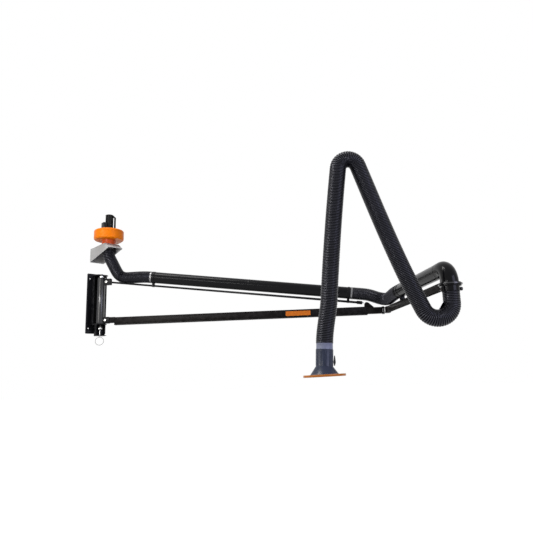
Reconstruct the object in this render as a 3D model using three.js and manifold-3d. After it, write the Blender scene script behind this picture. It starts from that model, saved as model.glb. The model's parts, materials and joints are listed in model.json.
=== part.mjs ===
// Wall-mounted fume extraction arm: two swinging booms carry a hose arm with a hood, and a fan
// stands on its own console above them. Millimetres, +Z up, +X out of the wall, +Y along it.
// The origin is the centre of the wall plate's back face.
import * as THREE from "three";
import { mergeVertices } from "three/addons/utils/BufferGeometryUtils.js";
import Module from "manifold-3d";

const wasm = await Module();
wasm.setup();

// Sizes of the whole arm
const duct_diameter = 160;
const duct_wall = 2;
const hose_diameter = 168;
const hose_bore_diameter = 152;
const boom_1_length = 3958;
const boom_1_turn = 42;
const boom_2_length = 2060;
const boom_2_turn = -78.9;
const arm_turn = -94.9;
const beam_level = -275;
const mast_offset = 150;
const mast_diameter = 114;
const seat_gap = 0.3;
const cut_overrun = 2;
const running_gap = 1;

// Sizes of the hose arm, measured out from the swivel axis and up from the beams' level
const bend_radius = 147;
const bend_level = -185;
const bend_exit_lean = 24;
const peak_radius = 103;
const peak_reach = 919;
const peak_level = 1209;
const riser_top_lean = 18.5;
const drop_top_lean = 8.2;
const drop_foot_lean = 5.5;
const drop_foot_share = 0.7567;
const drop_foot_sag = 11;
const hood_neck_reach = 1246;
const hood_neck_level = -538;
const hood_tilt = 3;
const shoulder_turn = 81;
const elbow_back = 7;
const elbow_rise = 70;
const wrist_rise = 108;

const duct_radius = duct_diameter / 2;
const hose_radius = hose_diameter / 2;
const mast_radius = mast_diameter / 2;
const fine_sides = 24;
const plain_sides = 12;

// Finishes
function finish(color, roughness, metalness) {
  return () => new THREE.MeshStandardMaterial({ color, roughness, metalness });
}
const satin_black = finish(0x1b1b1f, 0.45, 0.4);
const gloss_black = finish(0x141418, 0.2, 0.3);
const hose_black = finish(0x212129, 0.5, 0.1);
const zinc = finish(0xc9c9c4, 0.3, 0.9);
const orange = finish(0xf07a14, 0.4, 0.1);
const pale_grey = finish(0xb4b6b6, 0.5, 0.2);
const hood_grey = finish(0x3f434e, 0.5, 0.1);
const cuff_grey = finish(0x8f959e, 0.5, 0.2);
const motor_black = finish(0x26282b, 0.5, 0.3);
const cast_grey = finish(0x77797c, 0.5, 0.8);

// Joining and cutting
function solid(geometry) {
  const bare = geometry.index ? geometry.toNonIndexed() : geometry.clone();
  for (const name of Object.keys(bare.attributes)) if (name !== "position") bare.deleteAttribute(name);
  const merged = mergeVertices(bare, seat_gap / 1000);
  const vertProperties = new Float32Array(merged.attributes.position.array);
  const triVerts = new Uint32Array(merged.index.array);
  return new wasm.Manifold(new wasm.Mesh({ numProp: 3, vertProperties, triVerts }));
}

function surface(body) {
  const mesh = body.getMesh();
  const geometry = new THREE.BufferGeometry();
  geometry.setAttribute("position", new THREE.BufferAttribute(new Float32Array(mesh.vertProperties), 3));
  geometry.setIndex(new THREE.BufferAttribute(new Uint32Array(mesh.triVerts), 1));
  geometry.computeVertexNormals();
  return geometry;
}

function joined(...geometries) {
  return surface(geometries.map(solid).reduce((sum, next) => sum.add(next)));
}

function cut(geometry, ...tools) {
  return surface(tools.map(solid).reduce((rest, tool) => rest.subtract(tool), solid(geometry)));
}

// Basic forms
function block(x0, x1, y0, y1, z0, z1) {
  const geometry = new THREE.BoxGeometry(x1 - x0, y1 - y0, z1 - z0);
  return geometry.translate((x0 + x1) / 2, (y0 + y1) / 2, (z0 + z1) / 2);
}

function revolved(profile, sides = fine_sides) {
  const points = profile.map(([radius, height]) => new THREE.Vector2(radius, height));
  return new THREE.LatheGeometry(points, sides).rotateX(Math.PI / 2);
}

function ring(inner, outer, low, high, sides = fine_sides) {
  return revolved([[inner, low], [outer, low], [outer, high], [inner, high], [inner, low]], sides);
}

function disc(radius, low, high, sides = fine_sides) {
  return revolved([[0, low], [radius, low], [radius, high], [0, high]], sides);
}

const along_x = new THREE.Vector3(1, 0, 0);
const along_y = new THREE.Vector3(0, 1, 0);
const along_z = new THREE.Vector3(0, 0, 1);

function turned(geometry, direction, place) {
  const turn = new THREE.Quaternion().setFromUnitVectors(along_z, direction.clone().normalize());
  return geometry.applyQuaternion(turn).translate(place.x, place.y, place.z);
}

function rod(radius, from, to, sides = plain_sides) {
  const way = new THREE.Vector3().subVectors(to, from);
  return turned(disc(radius, 0, way.length(), sides), way, from);
}

function pipe(inner, outer, from, to, sides = fine_sides) {
  const way = new THREE.Vector3().subVectors(to, from);
  return turned(ring(inner, outer, 0, way.length(), sides), way, from);
}

function cross_rod(radius, x, z, half_width, sides = plain_sides) {
  return rod(radius, new THREE.Vector3(x, -half_width, z), new THREE.Vector3(x, half_width, z), sides);
}

function outline(points) {
  return new THREE.Shape(points.map(([x, y]) => new THREE.Vector2(x, y)));
}

function level_plate(shape, low, high) {
  const geometry = new THREE.ExtrudeGeometry(shape, { depth: high - low, bevelEnabled: false });
  return geometry.translate(0, 0, low);
}

function upright_plate(shape, y0, y1) {
  const geometry = new THREE.ExtrudeGeometry(shape, { depth: y1 - y0, bevelEnabled: false });
  return geometry.rotateX(Math.PI / 2).translate(0, y1, 0);
}

// A strip of even width between two points of the XZ plane, with round ends
function strip(from, to, width, y0, y1) {
  const turn = Math.atan2(to[1] - from[1], to[0] - from[0]);
  const half = width / 2;
  const shape = new THREE.Shape();
  shape.absarc(from[0], from[1], half, turn + Math.PI / 2, turn + 1.5 * Math.PI, false);
  shape.absarc(to[0], to[1], half, turn - Math.PI / 2, turn + Math.PI / 2, false);
  shape.closePath();
  const geometry = new THREE.ExtrudeGeometry(shape, { depth: y1 - y0, bevelEnabled: false, curveSegments: 3 });
  return geometry.rotateX(Math.PI / 2).translate(0, y1, 0);
}

function circle_hole(x, y, radius) {
  const hole = new THREE.Path();
  hole.absarc(x, y, radius, 0, 2 * Math.PI, true);
  return hole;
}

// A round bend of a route in the XZ plane, turning about its centre
class Bend extends THREE.Curve {
  constructor(centre_x, centre_z, radius, from, to) {
    super();
    Object.assign(this, { centre_x, centre_z, radius, from, to });
  }
  getPoint(t, target = new THREE.Vector3()) {
    const angle = this.from + (this.to - this.from) * t;
    const x = this.centre_x + this.radius * Math.cos(angle);
    return target.set(x, 0, this.centre_z + this.radius * Math.sin(angle));
  }
}

function route(...curves) {
  const path = new THREE.CurvePath();
  curves.forEach((curve) => path.add(curve));
  return path;
}

// Ribbed hose along a stretch of a route. Each rib is a crest ring and a root ring, and the bore has
// a ring every few ribs.
const hose_rib_pitch = 34;
const hose_rib_depth = 4;
const hose_sides = 8;

function ribbed_hose(path, start, end, bore_step) {
  const total = path.getLength();
  const ribs = bore_step * Math.max(1, Math.round((end - start) / hose_rib_pitch / bore_step));
  const rings = 2 * ribs;
  const positions = [];
  const indices = [];
  let normal = null;
  const frames = [];
  for (let i = 0; i <= rings; i++) {
    const u = Math.min(1, Math.max(0, (start + ((end - start) * i) / rings) / total));
    const tangent = path.getTangentAt(u);
    if (!normal) normal = new THREE.Vector3().crossVectors(along_y, tangent).normalize();
    normal = normal.clone().addScaledVector(tangent, -normal.dot(tangent)).normalize();
    const side = new THREE.Vector3().crossVectors(tangent, normal);
    frames.push({ centre: path.getPointAt(u), normal, side });
  }
  const add_ring = (frame, radius) => {
    const first = positions.length / 3;
    for (let k = 0; k < hose_sides; k++) {
      const angle = (2 * Math.PI * (k + 0.5)) / hose_sides;
      const point = frame.centre.clone();
      point.addScaledVector(frame.normal, radius * Math.cos(angle));
      point.addScaledVector(frame.side, radius * Math.sin(angle));
      positions.push(point.x, point.y, point.z);
    }
    return first;
  };
  const band = (a, b) => {
    for (let k = 0; k < hose_sides; k++) {
      const next = (k + 1) % hose_sides;
      indices.push(a + k, a + next, b + k, a + next, b + next, b + k);
    }
  };
  const outer = frames.map((frame, i) => add_ring(frame, hose_radius - (i % 2 ? 0 : hose_rib_depth)));
  const bore_frames = frames.filter((frame, i) => i % (2 * bore_step) === 0);
  const inner = bore_frames.map((frame) => add_ring(frame, hose_bore_diameter / 2));
  for (let i = 0; i < outer.length - 1; i++) band(outer[i], outer[i + 1]);
  for (let i = 0; i < inner.length - 1; i++) band(inner[i + 1], inner[i]);
  band(inner[0], outer[0]);
  band(outer[outer.length - 1], inner[inner.length - 1]);
  const geometry = new THREE.BufferGeometry();
  geometry.setAttribute("position", new THREE.Float32BufferAttribute(positions, 3));
  geometry.setIndex(indices);
  geometry.computeVertexNormals();
  return geometry;
}

// The scene graph: each swinging boom and each link is a group of its own
const arm = new THREE.Group();
const boom_1 = new THREE.Group();
const boom_2 = new THREE.Group();
const hose_arm = new THREE.Group();
const hood = new THREE.Group();
const fan = new THREE.Group();

function piece(group, name, geometry, material) {
  const mesh = new THREE.Mesh(geometry, material());
  mesh.name = name;
  group.add(mesh);
  return mesh;
}

boom_1.position.set(mast_offset, 0, 0);
boom_1.rotation.z = THREE.MathUtils.degToRad(boom_1_turn);
boom_2.position.set(boom_1_length, 0, beam_level);
boom_2.rotation.z = THREE.MathUtils.degToRad(boom_2_turn);

// Wall bracket: a plate with four bolt holes, a folded channel behind the mast and two ears
const plate_width = 300;
const plate_height = 868;
const plate_thickness = 10;
const plate_corner = 12;
const bolt_hole_radius = 9;
const bolt_hole_inset = 40;
const bolt_hole_drop = 75;
const channel_width = 150;
const channel_depth = 70;
const channel_wall = 6;
const ear_half_width = 90;
const ear_overhang = 48;
const ear_chamfer = 26;
const ear_thickness = 12;
const upper_ear_level = 388;
const mast_top = 356;
const mast_foot = -303;
const pivot_radius = 14;

const plate_shape = new THREE.Shape();
const half_plate = plate_width / 2 - plate_corner;
const plate_rise = plate_height / 2 - plate_corner;
plate_shape.absarc(half_plate, plate_rise, plate_corner, 0, Math.PI / 2, false);
plate_shape.absarc(-half_plate, plate_rise, plate_corner, Math.PI / 2, Math.PI, false);
plate_shape.absarc(-half_plate, -plate_rise, plate_corner, Math.PI, 1.5 * Math.PI, false);
plate_shape.absarc(half_plate, -plate_rise, plate_corner, 1.5 * Math.PI, 2 * Math.PI, false);
for (const side of [-1, 1]) {
  for (const end of [-1, 1]) {
    const y = side * (plate_width / 2 - bolt_hole_inset);
    const z = end * (plate_height / 2 - bolt_hole_drop);
    plate_shape.holes.push(circle_hole(y, z, bolt_hole_radius));
  }
}
const facing_out = new THREE.Matrix4().makeBasis(along_y, along_z, along_x);
const plate_form = { depth: plate_thickness, bevelEnabled: false, curveSegments: 6 };
const wall_plate = new THREE.ExtrudeGeometry(plate_shape, plate_form).applyMatrix4(facing_out);
piece(arm, "wall_plate", wall_plate, satin_black);

const bracket_back = plate_thickness + seat_gap;
const lower_ear_top = mast_foot - running_gap;
const channel_half = channel_width / 2;
const channel_tip = bracket_back + channel_depth;
const channel_web = bracket_back + channel_wall;
const channel_inside = channel_half - channel_wall;
const channel_shape = outline([
  [bracket_back, -channel_half], [channel_tip, -channel_half], [channel_tip, -channel_inside],
  [channel_web, -channel_inside], [channel_web, channel_inside], [channel_tip, channel_inside],
  [channel_tip, channel_half], [bracket_back, channel_half],
]);
const channel = level_plate(channel_shape, lower_ear_top + seat_gap, upper_ear_level - seat_gap);
piece(arm, "bracket_channel", channel, satin_black);

const ear_tip = mast_offset + ear_overhang;
const ear_shape = outline([
  [bracket_back, -ear_half_width], [ear_tip - ear_chamfer, -ear_half_width],
  [ear_tip, -ear_half_width + ear_chamfer], [ear_tip, ear_half_width - ear_chamfer],
  [ear_tip - ear_chamfer, ear_half_width], [bracket_back, ear_half_width],
]);
const upper_ear_solid = level_plate(ear_shape, upper_ear_level, upper_ear_level + ear_thickness);
const pivot_hole = disc(pivot_radius + seat_gap, -plate_height, plate_height).translate(mast_offset, 0, 0);
piece(arm, "upper_ear", cut(upper_ear_solid, pivot_hole), satin_black);

// The upper pivot bolt hangs the mast: head on the ear, bright collar under it, shank in the mast
const pivot_head_radius = 24;
const pivot_head_height = 14;
const pivot_collar_radius = 30;
const mast_plug = 40;
const ear_top = upper_ear_level + ear_thickness;
const upper_pivot = revolved([
  [0, mast_top - mast_plug], [pivot_radius, mast_top - mast_plug], [pivot_radius, mast_top + running_gap],
  [pivot_collar_radius, mast_top + running_gap], [pivot_collar_radius, upper_ear_level - seat_gap],
  [pivot_radius, upper_ear_level - seat_gap], [pivot_radius, ear_top + seat_gap],
  [pivot_head_radius, ear_top + seat_gap], [pivot_head_radius, ear_top + pivot_head_height],
  [0, ear_top + pivot_head_height],
], plain_sides);
piece(arm, "upper_pivot_bolt", upper_pivot.translate(mast_offset, 0, 0), zinc);

// The lower ear carries the mast on a hollow stub, and the stirrup that guides the locking plunger
const stub_radius = 24;
const stub_bore_radius = 14;
const stub_height = 34;
const stirrup_half_width = 66;
const stirrup_drop = 152;
const stirrup_behind = 40;
const stirrup_ahead = 22;
const stirrup_wall = 7;
const stirrup_nose = 60;
const plunger_rod_radius = 8;
const lower_ear_foot = lower_ear_top - ear_thickness;
const stirrup_foot = lower_ear_foot - stirrup_drop;
const stirrup_x0 = mast_offset - stirrup_behind;
const stirrup_x1 = mast_offset + stirrup_ahead;
const lower_ear_plate = level_plate(ear_shape, lower_ear_foot, lower_ear_top);
const stub = disc(stub_radius, lower_ear_foot, lower_ear_top + stub_height).translate(mast_offset, 0, 0);
const stirrup_cheeks = [-1, 1].map((side) => {
  const outside = side * stirrup_half_width;
  const inside = side * (stirrup_half_width - stirrup_wall);
  const y0 = Math.min(outside, inside);
  const y1 = Math.max(outside, inside);
  return block(stirrup_x0, stirrup_x1, y0, y1, stirrup_foot, lower_ear_foot + cut_overrun);
});
const stirrup_floor_shape = outline([
  [stirrup_x0, -stirrup_half_width], [stirrup_x1, -stirrup_half_width],
  [stirrup_x1 + stirrup_nose, stirrup_half_width - stirrup_wall],
  [stirrup_x1 + stirrup_nose - stirrup_wall, stirrup_half_width], [stirrup_x0, stirrup_half_width],
]);
const stirrup_floor = level_plate(stirrup_floor_shape, stirrup_foot - stirrup_wall, stirrup_foot);
const stub_bore = disc(stub_bore_radius, lower_ear_foot - cut_overrun, lower_ear_top + stub_height + cut_overrun);
const rod_bore = disc(plunger_rod_radius + running_gap, stirrup_foot - stirrup_wall - cut_overrun, stirrup_foot + cut_overrun);
const stirrup_back = block(stirrup_x0 - stirrup_wall, stirrup_x0, -stirrup_half_width, stirrup_half_width,
  stirrup_foot - stirrup_wall, lower_ear_foot + cut_overrun);
const lower_ear = cut(
  joined(lower_ear_plate, stub, ...stirrup_cheeks, stirrup_floor, stirrup_back),
  stub_bore.translate(mast_offset, 0, 0),
  rod_bore.translate(mast_offset, 0, 0),
);
piece(arm, "lower_ear", lower_ear, satin_black);

// The locking plunger: a bright cone that enters the stub from below, on a rod with an eye
const plunger_base_radius = 34;
const plunger_tip_radius = 10;
const plunger_height = 62;
const plunger_park = 16;
const plunger_tail = 14;
const lock_turn = -42;
const eye_radius = 11;
const eye_bore_radius = 5;
const plunger_tip = lower_ear_foot - running_gap;
const plunger_base = plunger_tip - plunger_height;
const plunger_skirt = plunger_height / 6;
const eye_level = stirrup_foot - stirrup_wall - plunger_tail;
const plunger_form = revolved([
  [0, eye_level], [plunger_rod_radius, eye_level], [plunger_rod_radius, plunger_base - plunger_park / 2],
  [plunger_base_radius, plunger_base], [plunger_base_radius, plunger_base + plunger_skirt],
  [plunger_tip_radius, plunger_tip], [0, plunger_tip],
], plain_sides);
const plunger_eye = cross_rod(eye_radius, 0, eye_level, plunger_rod_radius / 2);
const plunger_eye_bore = cross_rod(eye_bore_radius, 0, eye_level, plunger_rod_radius * 2);
const plunger = cut(joined(plunger_form, plunger_eye), plunger_eye_bore);
const lock = new THREE.Group();
lock.position.x = mast_offset;
lock.rotation.z = THREE.MathUtils.degToRad(lock_turn);
arm.add(lock);
piece(lock, "lock_plunger", plunger, zinc);

// The pull ring: an oval of wire that hangs in the plunger's eye
const pull_ring_width = 118;
const pull_ring_height = 112;
const pull_wire_radius = 2.5;
class Oval extends THREE.Curve {
  getPoint(t, target = new THREE.Vector3()) {
    const angle = 2 * Math.PI * t;
    const y = (pull_ring_width / 2) * Math.cos(angle);
    return target.set(0, y, (pull_ring_height / 2) * Math.sin(angle));
  }
}
function closed_tube(curve, radius, steps, sides) {
  const positions = [];
  const indices = [];
  const frames = curve.computeFrenetFrames(steps, true);
  for (let i = 0; i < steps; i++) {
    const centre = curve.getPointAt(i / steps);
    for (let k = 0; k < sides; k++) {
      const angle = (2 * Math.PI * k) / sides;
      const point = centre.clone().addScaledVector(frames.normals[i], radius * Math.cos(angle));
      point.addScaledVector(frames.binormals[i], radius * Math.sin(angle));
      positions.push(point.x, point.y, point.z);
      const a = i * sides + k;
      const b = i * sides + ((k + 1) % sides);
      const c = ((i + 1) % steps) * sides + k;
      const d = ((i + 1) % steps) * sides + ((k + 1) % sides);
      indices.push(a, b, c, b, d, c);
    }
  }
  const geometry = new THREE.BufferGeometry();
  geometry.setAttribute("position", new THREE.Float32BufferAttribute(positions, 3));
  geometry.setIndex(indices);
  return geometry;
}
const pull_ring = piece(lock, "pull_ring", closed_tube(new Oval(), pull_wire_radius, 20, 5), zinc);
const pull_ring_slack = eye_bore_radius - pull_wire_radius - 3 * seat_gap;
pull_ring.position.set(0, 0, eye_level - pull_ring_slack - pull_ring_height / 2);

// Fan console: a folded frame of back plate and two gussets, and a shelf with a bent-down nose
const console_near = -117;
const console_far = 93;
const console_wall = 5;
const console_foot = 602;
const shelf_level = 800;
const shelf_reach = 474;
const nose_reach = 590;
const nose_level = 722;
const fan_reach = 373;
const fan_side = -12;
const fan_spigot_radius = 80;
const gusset_top = shelf_level - console_wall - seat_gap;
const gusset_shape = outline([
  [0, console_foot], [nose_reach, nose_level - console_wall * 1.5], [nose_reach, nose_level - console_wall - seat_gap],
  [shelf_reach, gusset_top], [0, gusset_top],
]);
const console_frame = joined(
  block(0, console_wall, console_near, console_far, console_foot, gusset_top),
  upright_plate(gusset_shape, console_near, console_near + console_wall),
  upright_plate(gusset_shape, console_far - console_wall, console_far),
);
piece(arm, "console_frame", console_frame, pale_grey);

const shelf_shape = outline([
  [0, shelf_level - console_wall], [shelf_reach, shelf_level - console_wall],
  [nose_reach, nose_level - console_wall], [nose_reach, nose_level],
  [shelf_reach, shelf_level], [0, shelf_level],
]);
const shelf_hole = disc(fan_spigot_radius + seat_gap, nose_level, shelf_level + cut_overrun);
const shelf = cut(upright_plate(shelf_shape, console_near, console_far), shelf_hole.translate(fan_reach, fan_side, 0));
piece(arm, "console_shelf", shelf, pale_grey);

// Fan: inlet neck, drum housing with a square outlet, rotor, and a flanged motor standing on top
fan.position.set(fan_reach, fan_side, shelf_level);
const neck_radius = 97;
const neck_height = 66;
const spigot_drop = 66;
const spigot_wall = 3;
const drum_radius = 206;
const drum_height = 144;
const drum_round = 24;
const drum_wall = 4;
const outlet_width = 130;
const outlet_height = 100;
const outlet_length = 232;
const motor_seat_radius = 30;
const spigot_bore = fan_spigot_radius - spigot_wall;
const inlet_neck = revolved([
  [spigot_bore, -spigot_drop], [fan_spigot_radius, -spigot_drop], [fan_spigot_radius, seat_gap],
  [neck_radius, seat_gap], [neck_radius, neck_height - seat_gap], [spigot_bore, neck_height - seat_gap],
  [spigot_bore, -spigot_drop],
]);
piece(fan, "fan_inlet_neck", inlet_neck, orange);

function drum(radius, low, high, round) {
  const profile = [[0, low]];
  const steps = 2;
  for (let i = 0; i <= steps; i++) {
    const angle = (Math.PI / 2) * (i / steps);
    profile.push([radius - round + round * Math.sin(angle), low + round - round * Math.cos(angle)]);
  }
  for (let i = 0; i <= steps; i++) {
    const angle = (Math.PI / 2) * (i / steps);
    profile.push([radius - round + round * Math.cos(angle), high - round + round * Math.sin(angle)]);
  }
  profile.push([0, high]);
  return revolved(profile, fine_sides);
}
const drum_low = neck_height;
const drum_high = neck_height + drum_height;
const outlet_low = drum_low + (drum_height - outlet_height) / 2;
const outlet_high = outlet_low + outlet_height;
const outlet_outer = block(-drum_radius, -drum_radius + outlet_width, 0, outlet_length, outlet_low, outlet_high);
const outlet_inner = block(
  -drum_radius + drum_wall, -drum_radius + outlet_width - drum_wall, 0, outlet_length + cut_overrun,
  outlet_low + drum_wall, outlet_high - drum_wall,
);
const drum_inner = drum(drum_radius - drum_wall, drum_low + drum_wall, drum_high - drum_wall, drum_round - drum_wall);
const fan_housing = cut(
  joined(drum(drum_radius, drum_low, drum_high, drum_round), outlet_outer),
  drum_inner,
  outlet_inner,
  disc(spigot_bore, drum_low - cut_overrun, drum_low + drum_wall + cut_overrun),
  disc(motor_seat_radius, drum_high - drum_wall - cut_overrun, drum_high + cut_overrun),
);
piece(fan, "fan_housing", fan_housing, orange);

// Rotor: a back plate and a shroud ring with blades between them, on the motor's shaft
const rotor_radius = 152;
const rotor_height = 78;
const rotor_plate = 4;
const blade_count = 8;
const blade_thickness = 4;
const blade_lean = 0.6;
const rotor_eye_radius = 92;
const rotor_hub_radius = 26;
const shaft_radius = 10;
const rotor_high = drum_high - drum_wall - 5 * running_gap * 2;
const rotor_low = rotor_high - rotor_height;
const blade_length = (rotor_radius - rotor_eye_radius) / Math.cos(blade_lean);
const blades = Array.from({ length: blade_count }, (unused, i) => {
  const blade = block(
    0, blade_length, -blade_thickness / 2, blade_thickness / 2, rotor_low + rotor_plate / 2, rotor_high - rotor_plate / 2,
  );
  blade.rotateZ(blade_lean).translate(rotor_eye_radius, 0, 0);
  return blade.rotateZ((2 * Math.PI * i) / blade_count);
});
const impeller = cut(
  joined(
    disc(rotor_radius, rotor_high - rotor_plate, rotor_high),
    disc(rotor_hub_radius, rotor_high - rotor_height / 2, rotor_high),
    ring(rotor_eye_radius - rotor_plate, rotor_radius, rotor_low, rotor_low + rotor_plate),
    ...blades,
  ),
  disc(shaft_radius + seat_gap, rotor_low, rotor_high + cut_overrun, plain_sides),
);
piece(fan, "impeller", impeller, pale_grey);

const motor_radius = 54;
const motor_flange_radius = 66;
const motor_flange = 10;
const motor_height = 220;
const motor_fins = 16;
const motor_fin_depth = 5;
const motor_bore_radius = (shaft_radius + seat_gap) / Math.cos(Math.PI / plain_sides);
const shaft_top = drum_high + motor_flange * 2;
piece(fan, "motor_shaft", disc(shaft_radius, rotor_high - rotor_height / 2 + seat_gap, shaft_top, plain_sides), zinc);

const motor_low = drum_high + seat_gap;
const motor_high = motor_low + motor_height;
const fin_points = [];
for (let i = 0; i < motor_fins; i++) {
  for (const [share, radius] of [[0, motor_radius], [0.4, motor_radius], [0.5, motor_radius - motor_fin_depth],
    [0.9, motor_radius - motor_fin_depth]]) {
    const angle = (2 * Math.PI * (i + share)) / motor_fins;
    fin_points.push([radius * Math.cos(angle), radius * Math.sin(angle)]);
  }
}
const motor_body = cut(
  joined(
    level_plate(outline(fin_points), motor_low, motor_high),
    disc(motor_flange_radius, motor_low, motor_low + motor_flange),
  ),
  disc(motor_bore_radius, motor_low - cut_overrun, shaft_top + motor_flange, plain_sides),
);
piece(fan, "motor_body", motor_body, motor_black);

const cowl_radius = 57;
const cowl_height = 20;
const cowl_skirt = 7;
const cowl_profile = [[0, motor_high + seat_gap], [cowl_radius, motor_high + seat_gap]];
for (let i = 0; i <= 3; i++) {
  const angle = (Math.PI / 2) * (i / 3);
  const rise = (cowl_height - cowl_skirt) * Math.sin(angle);
  cowl_profile.push([cowl_radius * Math.cos(angle), motor_high + cowl_skirt + rise]);
}
cowl_profile[cowl_profile.length - 1][0] = 0;
piece(fan, "motor_cowl", revolved(cowl_profile), motor_black);

const terminal_width = 88;
const terminal_depth = 50;
const terminal_height = 98;
const terminal_chamfer = 10;
const terminal_level = motor_low + motor_flange + seat_gap;
const terminal_shape = outline([
  [-terminal_width / 2, 0], [-terminal_width / 2, -terminal_depth + terminal_chamfer],
  [-terminal_width / 2 + terminal_chamfer, -terminal_depth], [terminal_width / 2 - terminal_chamfer, -terminal_depth],
  [terminal_width / 2, -terminal_depth + terminal_chamfer], [terminal_width / 2, 0],
]);
const terminal_box = level_plate(terminal_shape, terminal_level, terminal_level + terminal_height);
piece(fan, "terminal_box", terminal_box.translate(0, -motor_radius - seat_gap, 0), motor_black);

// The motor's lead leaves a gland near the top, arches over and goes down into the housing
const lead_reach = 80;
const lead_radius = 10;
const lead_gland_radius = 13;
const lead_gland_length = 7;
const lead_turn = 48;
const lead_exit = motor_high - lead_gland_radius;
const lead_bend = lead_reach - motor_radius - lead_gland_length;
const gland_end = motor_radius + seat_gap + lead_gland_length;
const lead_path = route(
  new Bend(gland_end, lead_exit - lead_bend, lead_bend, Math.PI / 2, 0),
  new THREE.LineCurve3(
    new THREE.Vector3(gland_end + lead_bend, 0, lead_exit - lead_bend),
    new THREE.Vector3(gland_end + lead_bend, 0, drum_high + seat_gap),
  ),
);
const lead_section = new THREE.Shape();
lead_section.absarc(0, 0, lead_radius, 0, 2 * Math.PI, false);
const lead_tube = new THREE.ExtrudeGeometry(lead_section, { steps: 8, extrudePath: lead_path, curveSegments: 4 });
const lead_gland = rod(lead_gland_radius,
  new THREE.Vector3(motor_radius + seat_gap, 0, lead_exit), new THREE.Vector3(gland_end + lead_gland_length / 2, 0, lead_exit));
const lead_foot = rod(lead_gland_radius,
  new THREE.Vector3(gland_end + lead_bend, 0, drum_high + seat_gap),
  new THREE.Vector3(gland_end + lead_bend, 0, drum_high + lead_gland_radius));
const motor_lead = piece(fan, "motor_lead", joined(lead_tube, lead_gland, lead_foot), motor_black);
motor_lead.rotation.z = THREE.MathUtils.degToRad(lead_turn);
arm.add(fan);

// Boom 1: the mast is a tube with bored end plugs and two welded lugs, each of two cheeks for a bolt
const mast_wall = 6;
const mast_bore = mast_radius - mast_wall;
const lug_wall = 9;
const tongue_thickness = 26;
const lug_bolt_reach = 80;
const upper_lug_level = 296;
const upper_lug_height = 90;
const upper_lug_reach = 150;
const lower_lug_level = -256;
const lower_lug_height = 92;
const lower_lug_reach = 138;
const lug_bolt_radius = 10;
const lug_half = tongue_thickness / 2 + seat_gap + lug_wall;

function mast_lug(level, height, reach) {
  const low = level - height / 2;
  const high = level + height / 2;
  return [
    block(0, reach, -lug_half, -lug_half + lug_wall, low, high),
    block(0, reach, lug_half - lug_wall, lug_half, low, high),
  ];
}
const mast_tube = cut(
  joined(
    disc(mast_radius, mast_foot, mast_top),
    ...mast_lug(upper_lug_level, upper_lug_height, upper_lug_reach),
    ...mast_lug(lower_lug_level, lower_lug_height, lower_lug_reach),
  ),
  disc(mast_bore, mast_foot + mast_plug, mast_top - mast_plug),
  disc(pivot_radius + running_gap, mast_top - mast_plug - cut_overrun, mast_top + cut_overrun, plain_sides),
  disc(stub_radius + running_gap, mast_foot - cut_overrun, mast_foot + mast_plug + cut_overrun, plain_sides),
  cross_rod(lug_bolt_radius + seat_gap, lug_bolt_reach, upper_lug_level, lug_half + cut_overrun),
  cross_rod(lug_bolt_radius + seat_gap, lug_bolt_reach, lower_lug_level, lug_half + cut_overrun),
);
piece(boom_1, "mast_tube", mast_tube, satin_black);

const lug_bolt_head = 17;
const lug_bolt_head_height = 10;
function lug_bolt(level) {
  const low = -lug_half - seat_gap;
  const high = lug_half + seat_gap;
  const form = revolved([
    [0, low - lug_bolt_head_height], [lug_bolt_head, low - lug_bolt_head_height], [lug_bolt_head, low],
    [lug_bolt_radius, low], [lug_bolt_radius, high], [lug_bolt_head, high],
    [lug_bolt_head, high + lug_bolt_head_height], [0, high + lug_bolt_head_height],
  ], 12);
  return turned(form, along_y, new THREE.Vector3(lug_bolt_reach, 0, level));
}
piece(boom_1, "stay_bolt", lug_bolt(upper_lug_level), zinc);
piece(boom_1, "beam_bolt", lug_bolt(lower_lug_level), zinc);

// Beam 1: a tube with a rail along its lower edge, welded to a tongue that the lower lug takes
const beam_1_start = 220;
const beam_1_tail = 211;
const beam_1_end = boom_1_length - beam_1_tail;
const beam_1_width = 60;
const beam_1_height = 110;
const beam_wall = 5;
const rail_height = 20;
const rail_groove = 5;
const tongue_height = 84;
const tongue_tail = 62;

function beam_profile(width, height, rail) {
  const half = width / 2;
  const groove = half - rail_groove;
  const points = [[-half, height / 2], [-half, -height / 2 + rail + rail_groove]];
  if (rail) {
    points.push([-groove, -height / 2 + rail + rail_groove / 2], [-groove, -height / 2 + rail]);
    points.push([-half, -height / 2 + rail], [-half, -height / 2], [half, -height / 2]);
    points.push([half, -height / 2 + rail], [groove, -height / 2 + rail]);
    points.push([groove, -height / 2 + rail + rail_groove / 2]);
  }
  points.push([half, -height / 2 + rail + rail_groove], [half, height / 2]);
  return outline(points);
}
const lengthwise = new THREE.Matrix4().makeBasis(along_y, along_z, along_x);
function beam_bar(shape, start, end) {
  const geometry = new THREE.ExtrudeGeometry(shape, { depth: end - start, bevelEnabled: false });
  return geometry.applyMatrix4(lengthwise).translate(start, 0, 0);
}
const beam_1_inside_low = beam_level - beam_1_height / 2 + rail_height + rail_groove * 2;
const beam_1_inside_high = beam_level + beam_1_height / 2 - beam_wall;
const beam_1_half_inside = beam_1_width / 2 - rail_groove - beam_wall / 2;
const beam_1_root = block(
  mast_radius + seat_gap, beam_1_start + cut_overrun, -tongue_thickness / 2, tongue_thickness / 2,
  lower_lug_level - tongue_height / 2, lower_lug_level + tongue_height / 2,
);
const beam_1 = cut(
  joined(
    beam_bar(beam_profile(beam_1_width, beam_1_height, rail_height), beam_1_start, beam_1_end).translate(0, 0, beam_level),
    beam_1_root,
  ),
  block(beam_1_start + beam_wall * 2, beam_1_end + cut_overrun, -beam_1_half_inside, beam_1_half_inside,
    beam_1_inside_low, beam_1_inside_high),
  cross_rod(lug_bolt_radius + seat_gap, lug_bolt_reach, lower_lug_level, tongue_thickness),
);
piece(boom_1, "beam_1", beam_1, satin_black);

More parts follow.
